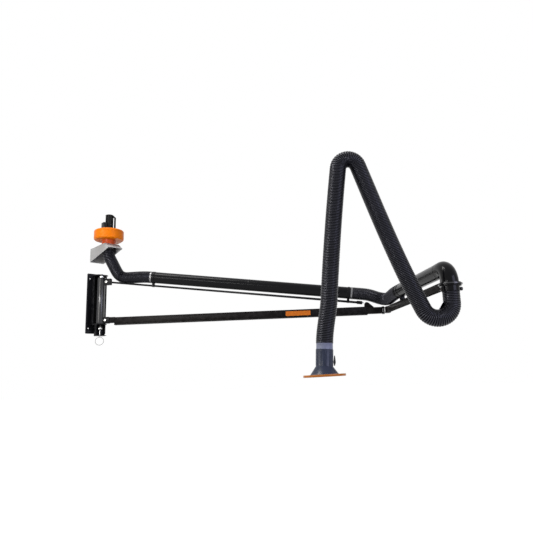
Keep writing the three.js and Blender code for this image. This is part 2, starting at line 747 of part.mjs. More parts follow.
// Beam 1's head: a plug in the tube, a block, the stay's gusset and two plates round the knuckle pin
const head_length = 92;
const head_stop = 22;
const head_height = 86;
const head_nose_half = 25;
const gusset_rise = 118;
const gusset_width = 24;
const gusset_back = 246;
const gusset_front = 116;
const gusset_start = boom_1_length - gusset_back;
const gusset_end = boom_1_length - gusset_front;
const gusset_round = 34;
const knuckle_plate = 9;
const knuckle_boss_radius = 20;
const knuckle_pin_radius = 13;
const head_end = boom_1_length - head_stop;
const head_low = beam_level - head_height / 2;
const head_high = beam_level + head_height / 2;
const beam_1_plug = block(
  beam_1_end - tongue_tail, beam_1_end + cut_overrun, -beam_1_half_inside + seat_gap, beam_1_half_inside - seat_gap,
  beam_1_inside_low + seat_gap, beam_1_inside_high - seat_gap,
);
const head_shape = outline([
  [beam_1_end + seat_gap, -beam_1_width / 2], [head_end - head_length, -beam_1_width / 2], [head_end, -head_nose_half],
  [head_end, head_nose_half], [head_end - head_length, beam_1_width / 2], [beam_1_end + seat_gap, beam_1_width / 2],
]);
const gusset_apex = beam_level + gusset_rise;
const stay_gusset_shape = new THREE.Shape();
stay_gusset_shape.moveTo(gusset_start, beam_level);
stay_gusset_shape.lineTo(gusset_end, beam_level);
stay_gusset_shape.lineTo(gusset_end, head_high);
stay_gusset_shape.lineTo(gusset_start + 2 * gusset_round, gusset_apex - gusset_round / 2);
stay_gusset_shape.absarc(gusset_start + gusset_round, gusset_apex - gusset_round, gusset_round, Math.PI / 4, Math.PI, false);
const gusset_clear = block(
  gusset_start - cut_overrun, beam_1_end + seat_gap, -gusset_width, gusset_width,
  beam_level - head_height, beam_level + beam_1_height / 2 + seat_gap,
);
const pin_bore = disc(knuckle_pin_radius + seat_gap, head_low - cut_overrun, head_high + cut_overrun, plain_sides);
const pin_plates = [head_low, head_high - knuckle_plate].map((low) => joined(
  block(head_end - cut_overrun, boom_1_length, -knuckle_boss_radius, knuckle_boss_radius, low, low + knuckle_plate),
  disc(knuckle_boss_radius, low, low + knuckle_plate, plain_sides).translate(boom_1_length, 0, 0),
));
const stay_gusset = cut(upright_plate(stay_gusset_shape, -gusset_width / 2, gusset_width / 2), gusset_clear);
const beam_1_head = cut(
  joined(level_plate(head_shape, head_low, head_high), beam_1_plug, stay_gusset, ...pin_plates),
  pin_bore.translate(boom_1_length, 0, 0),
);
piece(boom_1, "beam_1_head", beam_1_head, satin_black);

const pin_head_radius = 18;
const pin_head_height = 8;
const knuckle_pin = revolved([
  [0, head_low - seat_gap - pin_head_height], [pin_head_radius, head_low - seat_gap - pin_head_height],
  [pin_head_radius, head_low - seat_gap], [knuckle_pin_radius, head_low - seat_gap],
  [knuckle_pin_radius, head_high + seat_gap], [pin_head_radius, head_high + seat_gap],
  [pin_head_radius, head_high + seat_gap + pin_head_height], [0, head_high + seat_gap + pin_head_height],
], plain_sides);
piece(boom_1, "knuckle_pin", knuckle_pin.translate(boom_1_length, 0, 0), zinc);

// The stay: a rod from the upper lug down to the gusset. Its group lies along it.
const stay = new THREE.Group();
const stay_radius = 13;
const stay_eye_radius = 22;
const stay_drop = 462;
const stay_run = gusset_start - lug_bolt_reach;
const fork_length = 70;
const fork_height = 42;
const stay_slope = Math.atan2(stay_drop, stay_run);
const stay_length = stay_run / Math.cos(stay_slope);
const adjuster_length = 26;
const fork_end = stay_length - adjuster_length;
stay.position.set(lug_bolt_reach, 0, upper_lug_level);
stay.rotation.y = stay_slope;
boom_1.add(stay);
const stay_rod = cut(
  joined(
    cross_rod(stay_eye_radius, 0, 0, tongue_thickness / 2),
    rod(stay_radius, new THREE.Vector3(0, 0, 0), new THREE.Vector3(fork_end - fork_length / 2, 0, 0)),
    block(fork_end - fork_length, fork_end, -gusset_width / 2, gusset_width / 2, -fork_height / 2, fork_height / 2),
  ),
  cross_rod(lug_bolt_radius + seat_gap, 0, 0, tongue_thickness),
  rod(stay_radius / 2 + seat_gap, new THREE.Vector3(fork_end - fork_length / 2, 0, 0),
    new THREE.Vector3(fork_end + cut_overrun, 0, 0), 12),
);
piece(stay, "stay_rod", stay_rod, satin_black);
const gusset_face = stay_length - gusset_width / 4;
const stay_adjuster = joined(
  rod(stay_radius / 2, new THREE.Vector3(fork_end - fork_length / 3, 0, 0), new THREE.Vector3(gusset_face, 0, 0), 12),
  rod(stay_radius, new THREE.Vector3(fork_end + seat_gap, 0, 0), new THREE.Vector3(fork_end + adjuster_length / 2, 0, 0), 6),
);
piece(stay, "stay_adjuster", stay_adjuster, zinc);

// Duct 1 runs above the stay, parallel to it, on two saddles
const duct_over_stay = 119;
const duct_1_start = 646;
const duct_1_tail = 165;
const duct_1_end = stay_length - duct_1_tail;
const saddle_width = 34;
const saddle_band = 4;
const saddle_inset = 34;
const saddle_post = 15;
const clamp_width = 26;
const clamp_band = 5;
const duct_tube = (from, to, height) => pipe(duct_radius - duct_wall, duct_radius,
  new THREE.Vector3(from, 0, height), new THREE.Vector3(to, 0, height));
piece(stay, "duct_1", duct_tube(duct_1_start, duct_1_end, duct_over_stay), satin_black);

function duct_saddle(x) {
  const low = new THREE.Vector3(x, 0, duct_over_stay);
  const high = new THREE.Vector3(x + saddle_width, 0, duct_over_stay);
  return cut(
    joined(
      rod(duct_radius + seat_gap + saddle_band, low, high, fine_sides),
      block(x, x + saddle_width, -saddle_post, saddle_post, -stay_radius - saddle_band, duct_over_stay / 2),
    ),
    rod(duct_radius + seat_gap, new THREE.Vector3(x - cut_overrun, 0, duct_over_stay),
      new THREE.Vector3(x + saddle_width + cut_overrun, 0, duct_over_stay), fine_sides),
    rod(stay_radius + seat_gap, new THREE.Vector3(x - cut_overrun, 0, 0),
      new THREE.Vector3(x + saddle_width + cut_overrun, 0, 0)),
  );
}
piece(stay, "duct_saddle_inner", duct_saddle(duct_1_start + saddle_inset), satin_black);
piece(stay, "duct_saddle_outer", duct_saddle(duct_1_end - saddle_inset - saddle_width), satin_black);

// Each clamp sits on the duct's end, tight against the hose
function clamp_ring() {
  const inner = duct_radius + seat_gap;
  return ring(inner, inner + clamp_band, seat_gap, clamp_width);
}
const clamp_inner = turned(clamp_ring(), along_x, new THREE.Vector3(duct_1_start, 0, duct_over_stay));
piece(stay, "duct_1_clamp_inner", clamp_inner, zinc);
const clamp_outer = turned(clamp_ring(), along_x, new THREE.Vector3(duct_1_end - clamp_width, 0, duct_over_stay));
piece(stay, "duct_1_clamp_outer", clamp_outer, zinc);
arm.add(boom_1);

// Boom 2 hangs on the knuckle pin by a hub to one side of it, so that it can fold back
const knuckle_offset = 48;
const beam_2_width = 54;
const beam_2_height = 80;
const beam_2_start = 96;
const post_back = 160;
const post_start = boom_2_length - post_back;
const post_thickness = 34;
const hub_back = 12;
const hub_reach = 30;
const hub_plate_low = -head_height / 2 + knuckle_plate + running_gap;
const hub_plate_high = head_height / 2 - knuckle_plate - running_gap;
const hub_side = knuckle_offset - beam_2_width / 2;
const hub_block = block(hub_back, beam_2_start - seat_gap, hub_side, hub_side + beam_2_width, -head_height / 2, head_height / 2);
const hub_plates = [hub_plate_low, hub_plate_high - knuckle_plate].map((low) => joined(
  block(hub_back, hub_reach, 0, knuckle_offset, low, low + knuckle_plate),
  disc(knuckle_boss_radius, low, low + knuckle_plate, plain_sides),
));
const hub_plug = block(
  beam_2_start - cut_overrun, beam_2_start + tongue_tail,
  knuckle_offset - beam_2_width / 2 + beam_wall + seat_gap, knuckle_offset + beam_2_width / 2 - beam_wall - seat_gap,
  -beam_2_height / 2 + beam_wall + seat_gap, beam_2_height / 2 - beam_wall - seat_gap,
);
const knuckle_hub = cut(
  joined(hub_block, hub_plug, ...hub_plates),
  disc(knuckle_pin_radius + running_gap, -head_height, head_height, plain_sides),
);
piece(boom_2, "knuckle_hub", knuckle_hub, satin_black);

const beam_2 = cut(
  beam_bar(beam_profile(beam_2_width, beam_2_height, 0), beam_2_start, post_start - seat_gap),
  block(beam_2_start - cut_overrun, post_start + cut_overrun, -beam_2_width / 2 + beam_wall, beam_2_width / 2 - beam_wall,
    -beam_2_height / 2 + beam_wall, beam_2_height / 2 - beam_wall),
);
piece(boom_2, "beam_2", beam_2.translate(0, knuckle_offset, 0), satin_black);

// Duct 2, its elbow down to the swivel, and the post that holds both on the beam's end
const duct_2_level = 168;
const duct_2_start = 545;
const elbow_radius = 160;
const elbow_wall = 3;
const elbow_flange_radius = 102;
const elbow_flange = 9;
const swivel_reach = boom_2_length;
const duct_2_end = swivel_reach - elbow_radius;
const elbow_foot = duct_2_level - elbow_radius;
const swivel = new THREE.Group();
swivel.position.set(0, knuckle_offset, 0);
boom_2.add(swivel);
piece(swivel, "duct_2", duct_tube(duct_2_start, duct_2_end - seat_gap, duct_2_level), satin_black);

function elbow_pipe(radius, wall) {
  const path = new Bend(duct_2_end, elbow_foot, elbow_radius, Math.PI / 2, 0);
  const section = new THREE.Shape();
  section.absarc(0, 0, radius, 0, 2 * Math.PI, false);
  if (wall) section.holes.push(circle_hole(0, 0, radius - wall));
  return new THREE.ExtrudeGeometry(section, { steps: 8, extrudePath: path, curveSegments: 11 });
}
const elbow_outer_radius = duct_radius + elbow_wall;
const duct_elbow = joined(
  elbow_pipe(elbow_outer_radius, elbow_wall * 2),
  ring(elbow_outer_radius - elbow_wall * 2, elbow_flange_radius, elbow_foot - elbow_flange, elbow_foot)
    .translate(swivel_reach, 0, 0),
);
piece(swivel, "duct_elbow", duct_elbow, gloss_black);
const clamp_2 = turned(clamp_ring(), along_x, new THREE.Vector3(duct_2_start, 0, duct_2_level));
piece(swivel, "duct_2_clamp", clamp_2, zinc);

const saddle_2_start = 640;
const saddle_2_band = rod(duct_radius + seat_gap + saddle_band, new THREE.Vector3(saddle_2_start, 0, duct_2_level),
  new THREE.Vector3(saddle_2_start + saddle_width, 0, duct_2_level), fine_sides);
const duct_2_saddle = cut(
  joined(
    saddle_2_band,
    block(saddle_2_start, saddle_2_start + saddle_width, -beam_2_width / 2, beam_2_width / 2,
      beam_2_height / 2 + seat_gap, duct_2_level / 2 + saddle_post),
  ),
  rod(duct_radius + seat_gap, new THREE.Vector3(saddle_2_start - cut_overrun, 0, duct_2_level),
    new THREE.Vector3(saddle_2_start + saddle_width + cut_overrun, 0, duct_2_level), fine_sides),
);
piece(swivel, "duct_2_saddle", duct_2_saddle, satin_black);

const post_half_width = 34;
const post_foot = -52;
const flange_plate = 12;
const flange_radius = 116;
const swivel_top = elbow_foot - elbow_flange - seat_gap;
const swivel_bore = duct_radius + running_gap;
const flange_reach = swivel_reach - flange_radius;
const end_post_blank = joined(
  block(post_start, post_start + post_thickness, -post_half_width, post_half_width, post_foot, duct_2_level - duct_radius / 2),
  block(post_start - tongue_tail, post_start + cut_overrun, -beam_2_width / 2 + beam_wall + seat_gap,
    beam_2_width / 2 - beam_wall - seat_gap, -beam_2_height / 2 + beam_wall + seat_gap,
    beam_2_height / 2 - beam_wall - seat_gap),
);
const end_post = cut(
  end_post_blank,
  elbow_pipe(elbow_outer_radius + seat_gap, 0),
  rod(duct_radius + seat_gap, new THREE.Vector3(post_start - tongue_tail, 0, duct_2_level),
    new THREE.Vector3(duct_2_end + cut_overrun, 0, duct_2_level), fine_sides),
);
piece(swivel, "end_post", end_post, satin_black);

const flange_blank = joined(
  disc(flange_radius, swivel_top - flange_plate, swivel_top).translate(swivel_reach, 0, 0),
  block(post_start + post_thickness + seat_gap, swivel_reach, -post_half_width, post_half_width,
    swivel_top - flange_plate, swivel_top),
);
const swivel_flange = cut(
  flange_blank,
  disc(swivel_bore, swivel_top - flange_plate * 2, swivel_top + cut_overrun).translate(swivel_reach, 0, 0),
);
piece(swivel, "swivel_flange", swivel_flange, satin_black);
boom_1.add(boom_2);

// The hose arm turns about the swivel: local x runs out along it, z up
hose_arm.position.set(swivel_reach, knuckle_offset, 0);
hose_arm.rotation.z = THREE.MathUtils.degToRad(arm_turn);
boom_2.add(hose_arm);

const collar_flange_radius = 104;
const collar_flange = 12;
const collar_radius = 86;
const collar_drop = 52;
const collar_wall = 4;
const collar_top = swivel_top - flange_plate - running_gap;
const collar_foot = collar_top - collar_flange - collar_drop;
const collar_form = revolved([
  [duct_radius - collar_wall, collar_foot], [collar_radius, collar_foot], [collar_radius, collar_top - collar_flange],
  [collar_flange_radius, collar_top - collar_flange], [collar_flange_radius, collar_top],
  [duct_radius, collar_top], [duct_radius, swivel_top - flange_plate / 2],
  [duct_radius - collar_wall, swivel_top - flange_plate / 2], [duct_radius - collar_wall, collar_foot],
]);
const knob_stem_radius = 6;
const knob_level = collar_foot + collar_drop / 2;
const knob_hole = rod(knob_stem_radius + seat_gap,
  new THREE.Vector3(-collar_radius - cut_overrun, 0, knob_level),
  new THREE.Vector3(-collar_radius + collar_wall + 2 * seat_gap, 0, knob_level), 12);
piece(hose_arm, "swivel_collar", cut(collar_form, knob_hole), gloss_black);

// Clamp knob at the collar's back
const knob_radius = 19;
const knob_length = 26;
const knob_form = revolved([
  [0, 0], [knob_stem_radius, 0], [knob_stem_radius, collar_wall * 2], [knob_radius * 0.6, collar_wall * 2],
  [knob_radius, collar_wall * 3], [knob_radius, collar_wall * 2 + knob_length * 0.7],
  [knob_radius * 0.7, collar_wall * 2 + knob_length], [0, collar_wall * 2 + knob_length],
], 12);
const lock_knob = turned(knob_form, along_x.clone().negate(),
  new THREE.Vector3(-collar_radius + collar_wall + seat_gap, 0, knob_level));
piece(hose_arm, "lock_knob", lock_knob, motor_black);

// The hose's route: down, round the bend, up the riser, over the peak, down the drop to the hood
const degrees = THREE.MathUtils.degToRad;
const flat = (x, z) => new THREE.Vector3(x, 0, z);
const exit_lean = degrees(bend_exit_lean);
const bend_exit = flat(bend_radius + bend_radius * Math.cos(exit_lean), bend_level - bend_radius * Math.sin(exit_lean));
const top_lean = degrees(riser_top_lean);
const riser_top = flat(peak_reach - peak_radius * Math.cos(top_lean), peak_level + peak_radius * Math.sin(top_lean));
const fall_lean = degrees(drop_top_lean);
const drop_top = flat(peak_reach + peak_radius * Math.cos(fall_lean), peak_level + peak_radius * Math.sin(fall_lean));
const hood_neck = flat(hood_neck_reach, hood_neck_level);
const drop_foot = drop_top.clone().lerp(hood_neck, drop_foot_share).add(flat(-drop_foot_sag, 0));

// A stretch between two points of the XZ plane that leaves and arrives leaning from upright
function leaning(from, lean_from, to, lean_to, share) {
  const handle = share * from.distanceTo(to);
  const way = (lean) => flat(handle * Math.sin(lean), handle * Math.cos(lean) * Math.sign(to.z - from.z));
  return new THREE.CubicBezierCurve3(from, from.clone().add(way(lean_from)), to.clone().sub(way(lean_to)), to);
}
const foot_lean = degrees(drop_foot_lean);
const neck_lean = degrees(hood_tilt);
const handle_share = 0.34;
const arm_route = route(
  new THREE.LineCurve3(flat(0, collar_foot - seat_gap), flat(0, bend_level)),
  new Bend(bend_radius, bend_level, bend_radius, Math.PI, 2 * Math.PI - exit_lean),
  leaning(bend_exit, exit_lean, riser_top, top_lean, handle_share),
  new Bend(peak_reach, peak_level, peak_radius, Math.PI - top_lean, fall_lean),
  leaning(drop_top, fall_lean, drop_foot, foot_lean, handle_share),
  leaning(drop_foot, foot_lean, hood_neck, neck_lean, handle_share),
);
const stretches = arm_route.getCurveLengths();
const shoulder_overlap = 70;
const elbow_overlap = 250;
const wrist_overlap = 30;
const shoulder_end = stretches[1] + shoulder_overlap;
const elbow_begin = stretches[2] - elbow_overlap;
const elbow_finish = stretches[3] + elbow_overlap;
const wrist_begin = stretches[4] + wrist_overlap;
const hood_end = stretches[5];
const hose_stretches = [
  ["shoulder_hose", 0, shoulder_end, 2],
  ["riser_hose", shoulder_end + seat_gap, elbow_begin - seat_gap, 5],
  ["elbow_hose", elbow_begin, elbow_finish, 1],
  ["drop_hose", elbow_finish + seat_gap, wrist_begin - seat_gap, 5],
  ["wrist_hose", wrist_begin, hood_end, 2],
];
for (const [name, from, to, bore_step] of hose_stretches) {
  piece(hose_arm, name, ribbed_hose(arm_route, from, to, bore_step), hose_black);
}

// The skeleton inside the hose: cranked links on pins with friction discs
const link_radius = 15;
const link_half = 13;
const cheek_wall = 6;
const crank_width = 38;
const elbow_crank_width = 30;
const joint_disc_radius = 26;
const pin_radius = 8;
const cheek_inside = link_half + seat_gap;
const cheek_outside = cheek_inside + cheek_wall;
const spider_level = collar_foot + collar_drop / 4;
const spider_half_height = 9;
const crank_knee = [bend_radius * 0.09, bend_level - bend_radius * 0.28];
const shoulder_angle = degrees(shoulder_turn);
const shoulder_reach = bend_radius + bend_radius * Math.cos(shoulder_angle);
const shoulder_level = bend_level - bend_radius * Math.sin(shoulder_angle);
const elbow_reach = peak_reach - elbow_back;
const elbow_level = peak_level + elbow_rise;
const wrist_reach = hood_neck_reach - wrist_rise * Math.tan(neck_lean);
const wrist_level = hood_neck_level + wrist_rise;
const shoulder_place = [shoulder_reach, shoulder_level];
const elbow_place = [elbow_reach, elbow_level];
const wrist_place = [wrist_reach, wrist_level];

const spider_bar = cut(
  disc(duct_radius - collar_wall - seat_gap, spider_level - spider_half_height, spider_level + spider_half_height),
  block(crank_width / 2, duct_diameter, -duct_diameter, duct_diameter, -duct_diameter, duct_diameter),
  block(-duct_diameter, -crank_width / 2, -duct_diameter, duct_diameter, -duct_diameter, duct_diameter),
);
const base_cheeks = [-1, 1].flatMap((side) => {
  const y0 = Math.min(side * cheek_inside, side * cheek_outside);
  const y1 = Math.max(side * cheek_inside, side * cheek_outside);
  return [
    strip([0, spider_level], crank_knee, crank_width, y0, y1),
    strip(crank_knee, shoulder_place, crank_width, y0, y1),
  ];
});
const base_bracket = cut(
  joined(spider_bar, ...base_cheeks),
  cross_rod(pin_radius + seat_gap, shoulder_reach, shoulder_level, cheek_outside + cut_overrun),
);
piece(hose_arm, "base_bracket", base_bracket, zinc);

// A pin through two cheeks, with a friction disc and a nut outside each
function joint_pin([x, z], disc_radius) {
  const face = cheek_outside + seat_gap;
  const disc_out = face + cheek_wall;
  const end = disc_out + cheek_wall;
  const form = revolved([
    [0, -end], [pin_radius * 1.5, -end], [pin_radius * 1.5, -disc_out], [disc_radius, -disc_out], [disc_radius, -face],
    [pin_radius, -face], [pin_radius, face], [disc_radius, face], [disc_radius, disc_out],
    [pin_radius * 1.5, disc_out], [pin_radius * 1.5, end], [0, end],
  ], 12);
  return turned(form, along_y, new THREE.Vector3(x, 0, z));
}
piece(hose_arm, "shoulder_pin", joint_pin(shoulder_place, joint_disc_radius), cast_grey);

const riser_knee = [bend_exit.x + link_radius, bend_exit.z + crank_width];
const riser_crown = [riser_top.x - link_radius, riser_top.z - crank_width];
const elbow_cheeks = [-1, 1].map((side) => {
  const y0 = Math.min(side * cheek_inside, side * cheek_outside);
  const y1 = Math.max(side * cheek_inside, side * cheek_outside);
  return strip(riser_crown, elbow_place, crank_width, y0, y1);
});
const lower_link = cut(
  joined(
    strip(shoulder_place, riser_knee, crank_width, -link_half, link_half),
    rod(link_radius, flat(...riser_knee), flat(...riser_crown)),
    cross_rod(crank_width / 2, riser_crown[0], riser_crown[1], cheek_outside),
    ...elbow_cheeks,
  ),
  cross_rod(pin_radius + seat_gap, shoulder_reach, shoulder_level, cheek_outside),
  cross_rod(pin_radius + seat_gap, elbow_reach, elbow_level, cheek_outside + cut_overrun),
);
piece(hose_arm, "lower_link", lower_link, zinc);
piece(hose_arm, "elbow_pin", joint_pin(elbow_place, joint_disc_radius), cast_grey);

const elbow_knee_angle = degrees(48);
const elbow_knee = [
  peak_reach + peak_radius * Math.cos(elbow_knee_angle), peak_level + peak_radius * Math.sin(elbow_knee_angle),
];
const drop_crown = [drop_top.x + link_radius / 2, drop_top.z - crank_width * 1.2];
const wrist_cheeks = [-1, 1].map((side) => {
  const y0 = Math.min(side * cheek_inside, side * cheek_outside);
  const y1 = Math.max(side * cheek_inside, side * cheek_outside);
  return strip([wrist_reach - link_radius / 3, wrist_level + crank_width * 2], wrist_place, crank_width * 0.8, y0, y1);
});
const upper_link = cut(
  joined(
    strip(elbow_place, elbow_knee, elbow_crank_width, -link_half, link_half),
    strip(elbow_knee, drop_crown, elbow_crank_width, -link_half, link_half),
    rod(link_radius, flat(...drop_crown), flat(wrist_reach - link_radius / 3, wrist_level + crank_width * 2)),
    cross_rod(link_radius, wrist_reach - link_radius / 3, wrist_level + crank_width * 2, cheek_outside),
    ...wrist_cheeks,
  ),
  cross_rod(pin_radius + seat_gap, elbow_reach, elbow_level, cheek_outside),
  cross_rod(pin_radius + seat_gap, wrist_reach, wrist_level, cheek_outside + cut_overrun),
);
piece(hose_arm, "upper_link", upper_link, zinc);
piece(hose_arm, "wrist_pin", joint_pin(wrist_place, joint_disc_radius * 0.7), cast_grey);

// The hood hangs from the wrist pin: its group has the pin at its origin and z along its axis
hood.position.set(wrist_reach, 0, wrist_level);
hood.rotation.y = -neck_lean;
hose_arm.add(hood);
const hood_neck_drop = (wrist_level - hood_neck_level) / Math.cos(neck_lean);
const cuff_width = 57;
const cuff_band = 3;
const hood_cylinder = 214;
const hood_cone = 76;
const cone_radius = 134;
const rim_radius = 200;
const rim_thickness = 22;
const hood_wall = 3;
const ridge_count = 12;
const ridge_height = 3;
const rim_lean = 4.5;
const hood_top = -hood_neck_drop - seat_gap;
const cylinder_foot = hood_top - hood_cylinder;
const cone_foot = cylinder_foot - hood_cone;
const hood_bore = duct_radius - hood_wall;
const hood_neck_radius = duct_radius - cuff_band - seat_gap;
const hood_neck_bore = hood_neck_radius - hood_wall;
const rim_rise = Math.tan(degrees(rim_lean));
const leant = (form) => {
  const at = form.attributes.position;
  for (let i = 0; i < at.count; i++) {
    const share = THREE.MathUtils.clamp((cylinder_foot - at.getZ(i)) / hood_cone, 0, 1);
    at.setZ(i, at.getZ(i) - at.getX(i) * rim_rise * share);
  }
  return form;
};
const ridge_share = 0.3;
const ridge_points = [];
for (let i = 0; i < ridge_count; i++) {
  for (const [share, height] of [[-ridge_share / 2, 0], [-ridge_share / 4, ridge_height], [ridge_share / 4, ridge_height],
    [ridge_share / 2, 0], [0.5, 0]]) {
    const angle = (2 * Math.PI * (i + share)) / ridge_count;
    ridge_points.push([(duct_radius + height) * Math.cos(angle), (duct_radius + height) * Math.sin(angle)]);
  }
}
const damper_share = 0.82;
const damper_level = hood_top - hood_cylinder * damper_share;
const damper_pin_radius = 5;
const hood_shell = cut(
  joined(
    level_plate(outline(ridge_points), cylinder_foot, hood_top - cuff_width - seat_gap),
    disc(hood_neck_radius, cylinder_foot, hood_top),
    leant(revolved([[0, cone_foot], [cone_radius, cone_foot], [duct_radius, cylinder_foot], [0, cylinder_foot]])),
  ),
  disc(hood_bore, cylinder_foot - cut_overrun, hood_top - cuff_width - hood_wall),
  disc(hood_neck_bore, cylinder_foot, hood_top + cut_overrun),
  leant(revolved([
    [0, cone_foot - cut_overrun], [cone_radius - hood_wall, cone_foot - cut_overrun],
    [cone_radius - hood_wall, cone_foot], [hood_bore, cylinder_foot], [0, cylinder_foot],
  ])),
  rod(damper_pin_radius + seat_gap, new THREE.Vector3(-duct_diameter, 0, damper_level),
    new THREE.Vector3(duct_diameter, 0, damper_level), 12),
);
piece(hood, "hood_body", hood_shell, hood_grey);
const hood_cuff = ring(hood_neck_radius + seat_gap, duct_radius, hood_top - cuff_width, hood_top);
piece(hood, "hood_cuff", hood_cuff, cuff_grey);

// The rim: an orange ring round the mouth with a rolled outer edge
const rim_plate = 7;
const rim_inner = cone_radius - hood_wall * 2;
const rim_top = cone_foot - seat_gap;
const hood_rim = leant(revolved([
  [rim_inner, rim_top - rim_plate], [rim_radius - rim_plate, rim_top - rim_plate],
  [rim_radius - rim_plate, rim_top - rim_thickness + rim_plate], [rim_radius - rim_plate / 2, rim_top - rim_thickness],
  [rim_radius, rim_top - rim_thickness + rim_plate / 2], [rim_radius, rim_top - rim_plate / 2],
  [rim_radius - rim_plate / 2, rim_top], [rim_inner, rim_top], [rim_inner, rim_top - rim_plate],
], 32));
piece(hood, "hood_rim", hood_rim, orange);

// The hanger: an eye on the wrist pin, a strut and a bar across the hood's neck
const hanger_foot_share = 0.975;
const hanger_bar_level = hood_top - cuff_width * 0.45;
const hanger_bar_half = 10;
const hood_hanger = cut(
  joined(
    strip([0, 0], [0, -crank_width], crank_width * 0.8, -link_half, link_half),
    rod(link_radius * 0.8, new THREE.Vector3(0, 0, -crank_width / 2), new THREE.Vector3(0, 0, hanger_bar_level), 12),
    block(-hanger_bar_half, hanger_bar_half, -hood_neck_bore + hood_wall, hood_neck_bore - hood_wall,
      hanger_bar_level - hanger_bar_half, hanger_bar_level + hanger_bar_half),
    block(-hanger_bar_half, hanger_bar_half, -hood_neck_bore * hanger_foot_share, -hood_neck_bore + hood_wall * 2,
      hanger_bar_level - cuff_width / 2, hanger_bar_level + hanger_bar_half),
    block(-hanger_bar_half, hanger_bar_half, hood_neck_bore - hood_wall * 2, hood_neck_bore * hanger_foot_share,
      hanger_bar_level - cuff_width / 2, hanger_bar_level + hanger_bar_half),
  ),
  cross_rod(pin_radius + seat_gap, 0, 0, cheek_outside),
);
piece(hood, "hood_hanger", hood_hanger, zinc);

// Damper flap on its spindle, and the pointed lever outside
const flap_radius = hood_bore - running_gap * 2;
const flap_thickness = 2;
const lever_length = 62;
const lever_tail = 33;
const lever_width = 22;
const lever_thickness = 14;
const spindle_end = duct_radius + ridge_height + running_gap;
const lever_out = spindle_end + lever_width / 2;
const damper_flap = joined(
  turned(disc(flap_radius, -flap_thickness / 2, flap_thickness / 2), along_y, new THREE.Vector3(0, 0, damper_level)),
  rod(damper_pin_radius, new THREE.Vector3(-lever_out - lever_width / 2, 0, damper_level),
    new THREE.Vector3(spindle_end, 0, damper_level), 12),
);
piece(hood, "damper_flap", damper_flap, cast_grey);
const lever_tip = lever_width / 6;
const damper_lever = cut(
  upright_plate(outline([
    [-lever_out - lever_tip, damper_level - lever_tail], [-lever_out + lever_tip, damper_level - lever_tail],
    [-lever_out + lever_width / 2, damper_level], [-lever_out + lever_tip, damper_level + lever_length],
    [-lever_out - lever_tip, damper_level + lever_length], [-lever_out - lever_width / 2, damper_level],
  ]), -lever_thickness / 2, lever_thickness / 2),
  rod(damper_pin_radius + seat_gap, new THREE.Vector3(-lever_out - lever_width, 0, damper_level),
    new THREE.Vector3(-lever_out + lever_width, 0, damper_level), 12),
);
piece(hood, "damper_lever", damper_lever, motor_black);

// Hoses that bend with the booms. Each leaves its ends straight and square.
arm.updateMatrixWorld(true);
const duct_1_ends = [duct_1_start, duct_1_end].map((x) => new THREE.Vector3(x, 0, duct_over_stay).applyMatrix4(stay.matrixWorld));
const duct_1_way = new THREE.Vector3(1, 0, 0).transformDirection(stay.matrixWorld);
const duct_1_side = new THREE.Vector3(0, 1, 0).transformDirection(stay.matrixWorld);
const duct_2_inlet = new THREE.Vector3(duct_2_start, 0, duct_2_level).applyMatrix4(swivel.matrixWorld);
const duct_2_way = new THREE.Vector3(1, 0, 0).transformDirection(swivel.matrixWorld);

// A line of corners with each inner corner rounded off
function rounded_route(corners, trims) {
  const path = new THREE.CurvePath();
  let from = corners[0];
  for (let i = 1; i < corners.length - 1; i++) {
    const corner = corners[i];
    const before = corner.clone().add(corners[i - 1].clone().sub(corner).setLength(trims[i - 1]));
    const after = corner.clone().add(corners[i + 1].clone().sub(corner).setLength(trims[i - 1]));
    path.add(new THREE.LineCurve3(from, before));
    path.add(new THREE.QuadraticBezierCurve3(before, corner, after));
    from = after;
  }
  path.add(new THREE.LineCurve3(from, corners[corners.length - 1]));
  return path;
}

const fan_hose_straight = 80;
const fan_hose_lead = 488;
const fan_hose_sag = 40;
const fan_hose_side = 70;
const fan_hose_rise_lead = 150;
const fan_hose_rise = 32;
const fan_hose_end_lead = 60;
const fan_hose_trims = [60, 125, 60, 30];
const spigot_end = new THREE.Vector3(fan_reach, fan_side, shelf_level - spigot_drop - seat_gap);
const duct_1_mouth = duct_1_ends[0].clone().addScaledVector(duct_1_way, -seat_gap);
const fan_hose_corner = duct_1_mouth.clone().addScaledVector(duct_1_way, -fan_hose_lead)
  .addScaledVector(duct_1_side, fan_hose_side).add(flat(0, -fan_hose_sag));
const fan_hose_route = rounded_route([
  spigot_end,
  spigot_end.clone().add(new THREE.Vector3(0, 0, -fan_hose_straight)),
  fan_hose_corner,
  duct_1_mouth.clone().addScaledVector(duct_1_way, -fan_hose_rise_lead).add(flat(0, fan_hose_rise - fan_hose_sag)),
  duct_1_mouth.clone().addScaledVector(duct_1_way, -fan_hose_end_lead),
  duct_1_mouth,
], fan_hose_trims);
piece(arm, "fan_hose", ribbed_hose(fan_hose_route, 0, fan_hose_route.getLength(), 2), hose_black);

const fan_clamp = clamp_ring().translate(spigot_end.x, spigot_end.y, spigot_end.z);
piece(arm, "fan_hose_clamp", fan_clamp, zinc);

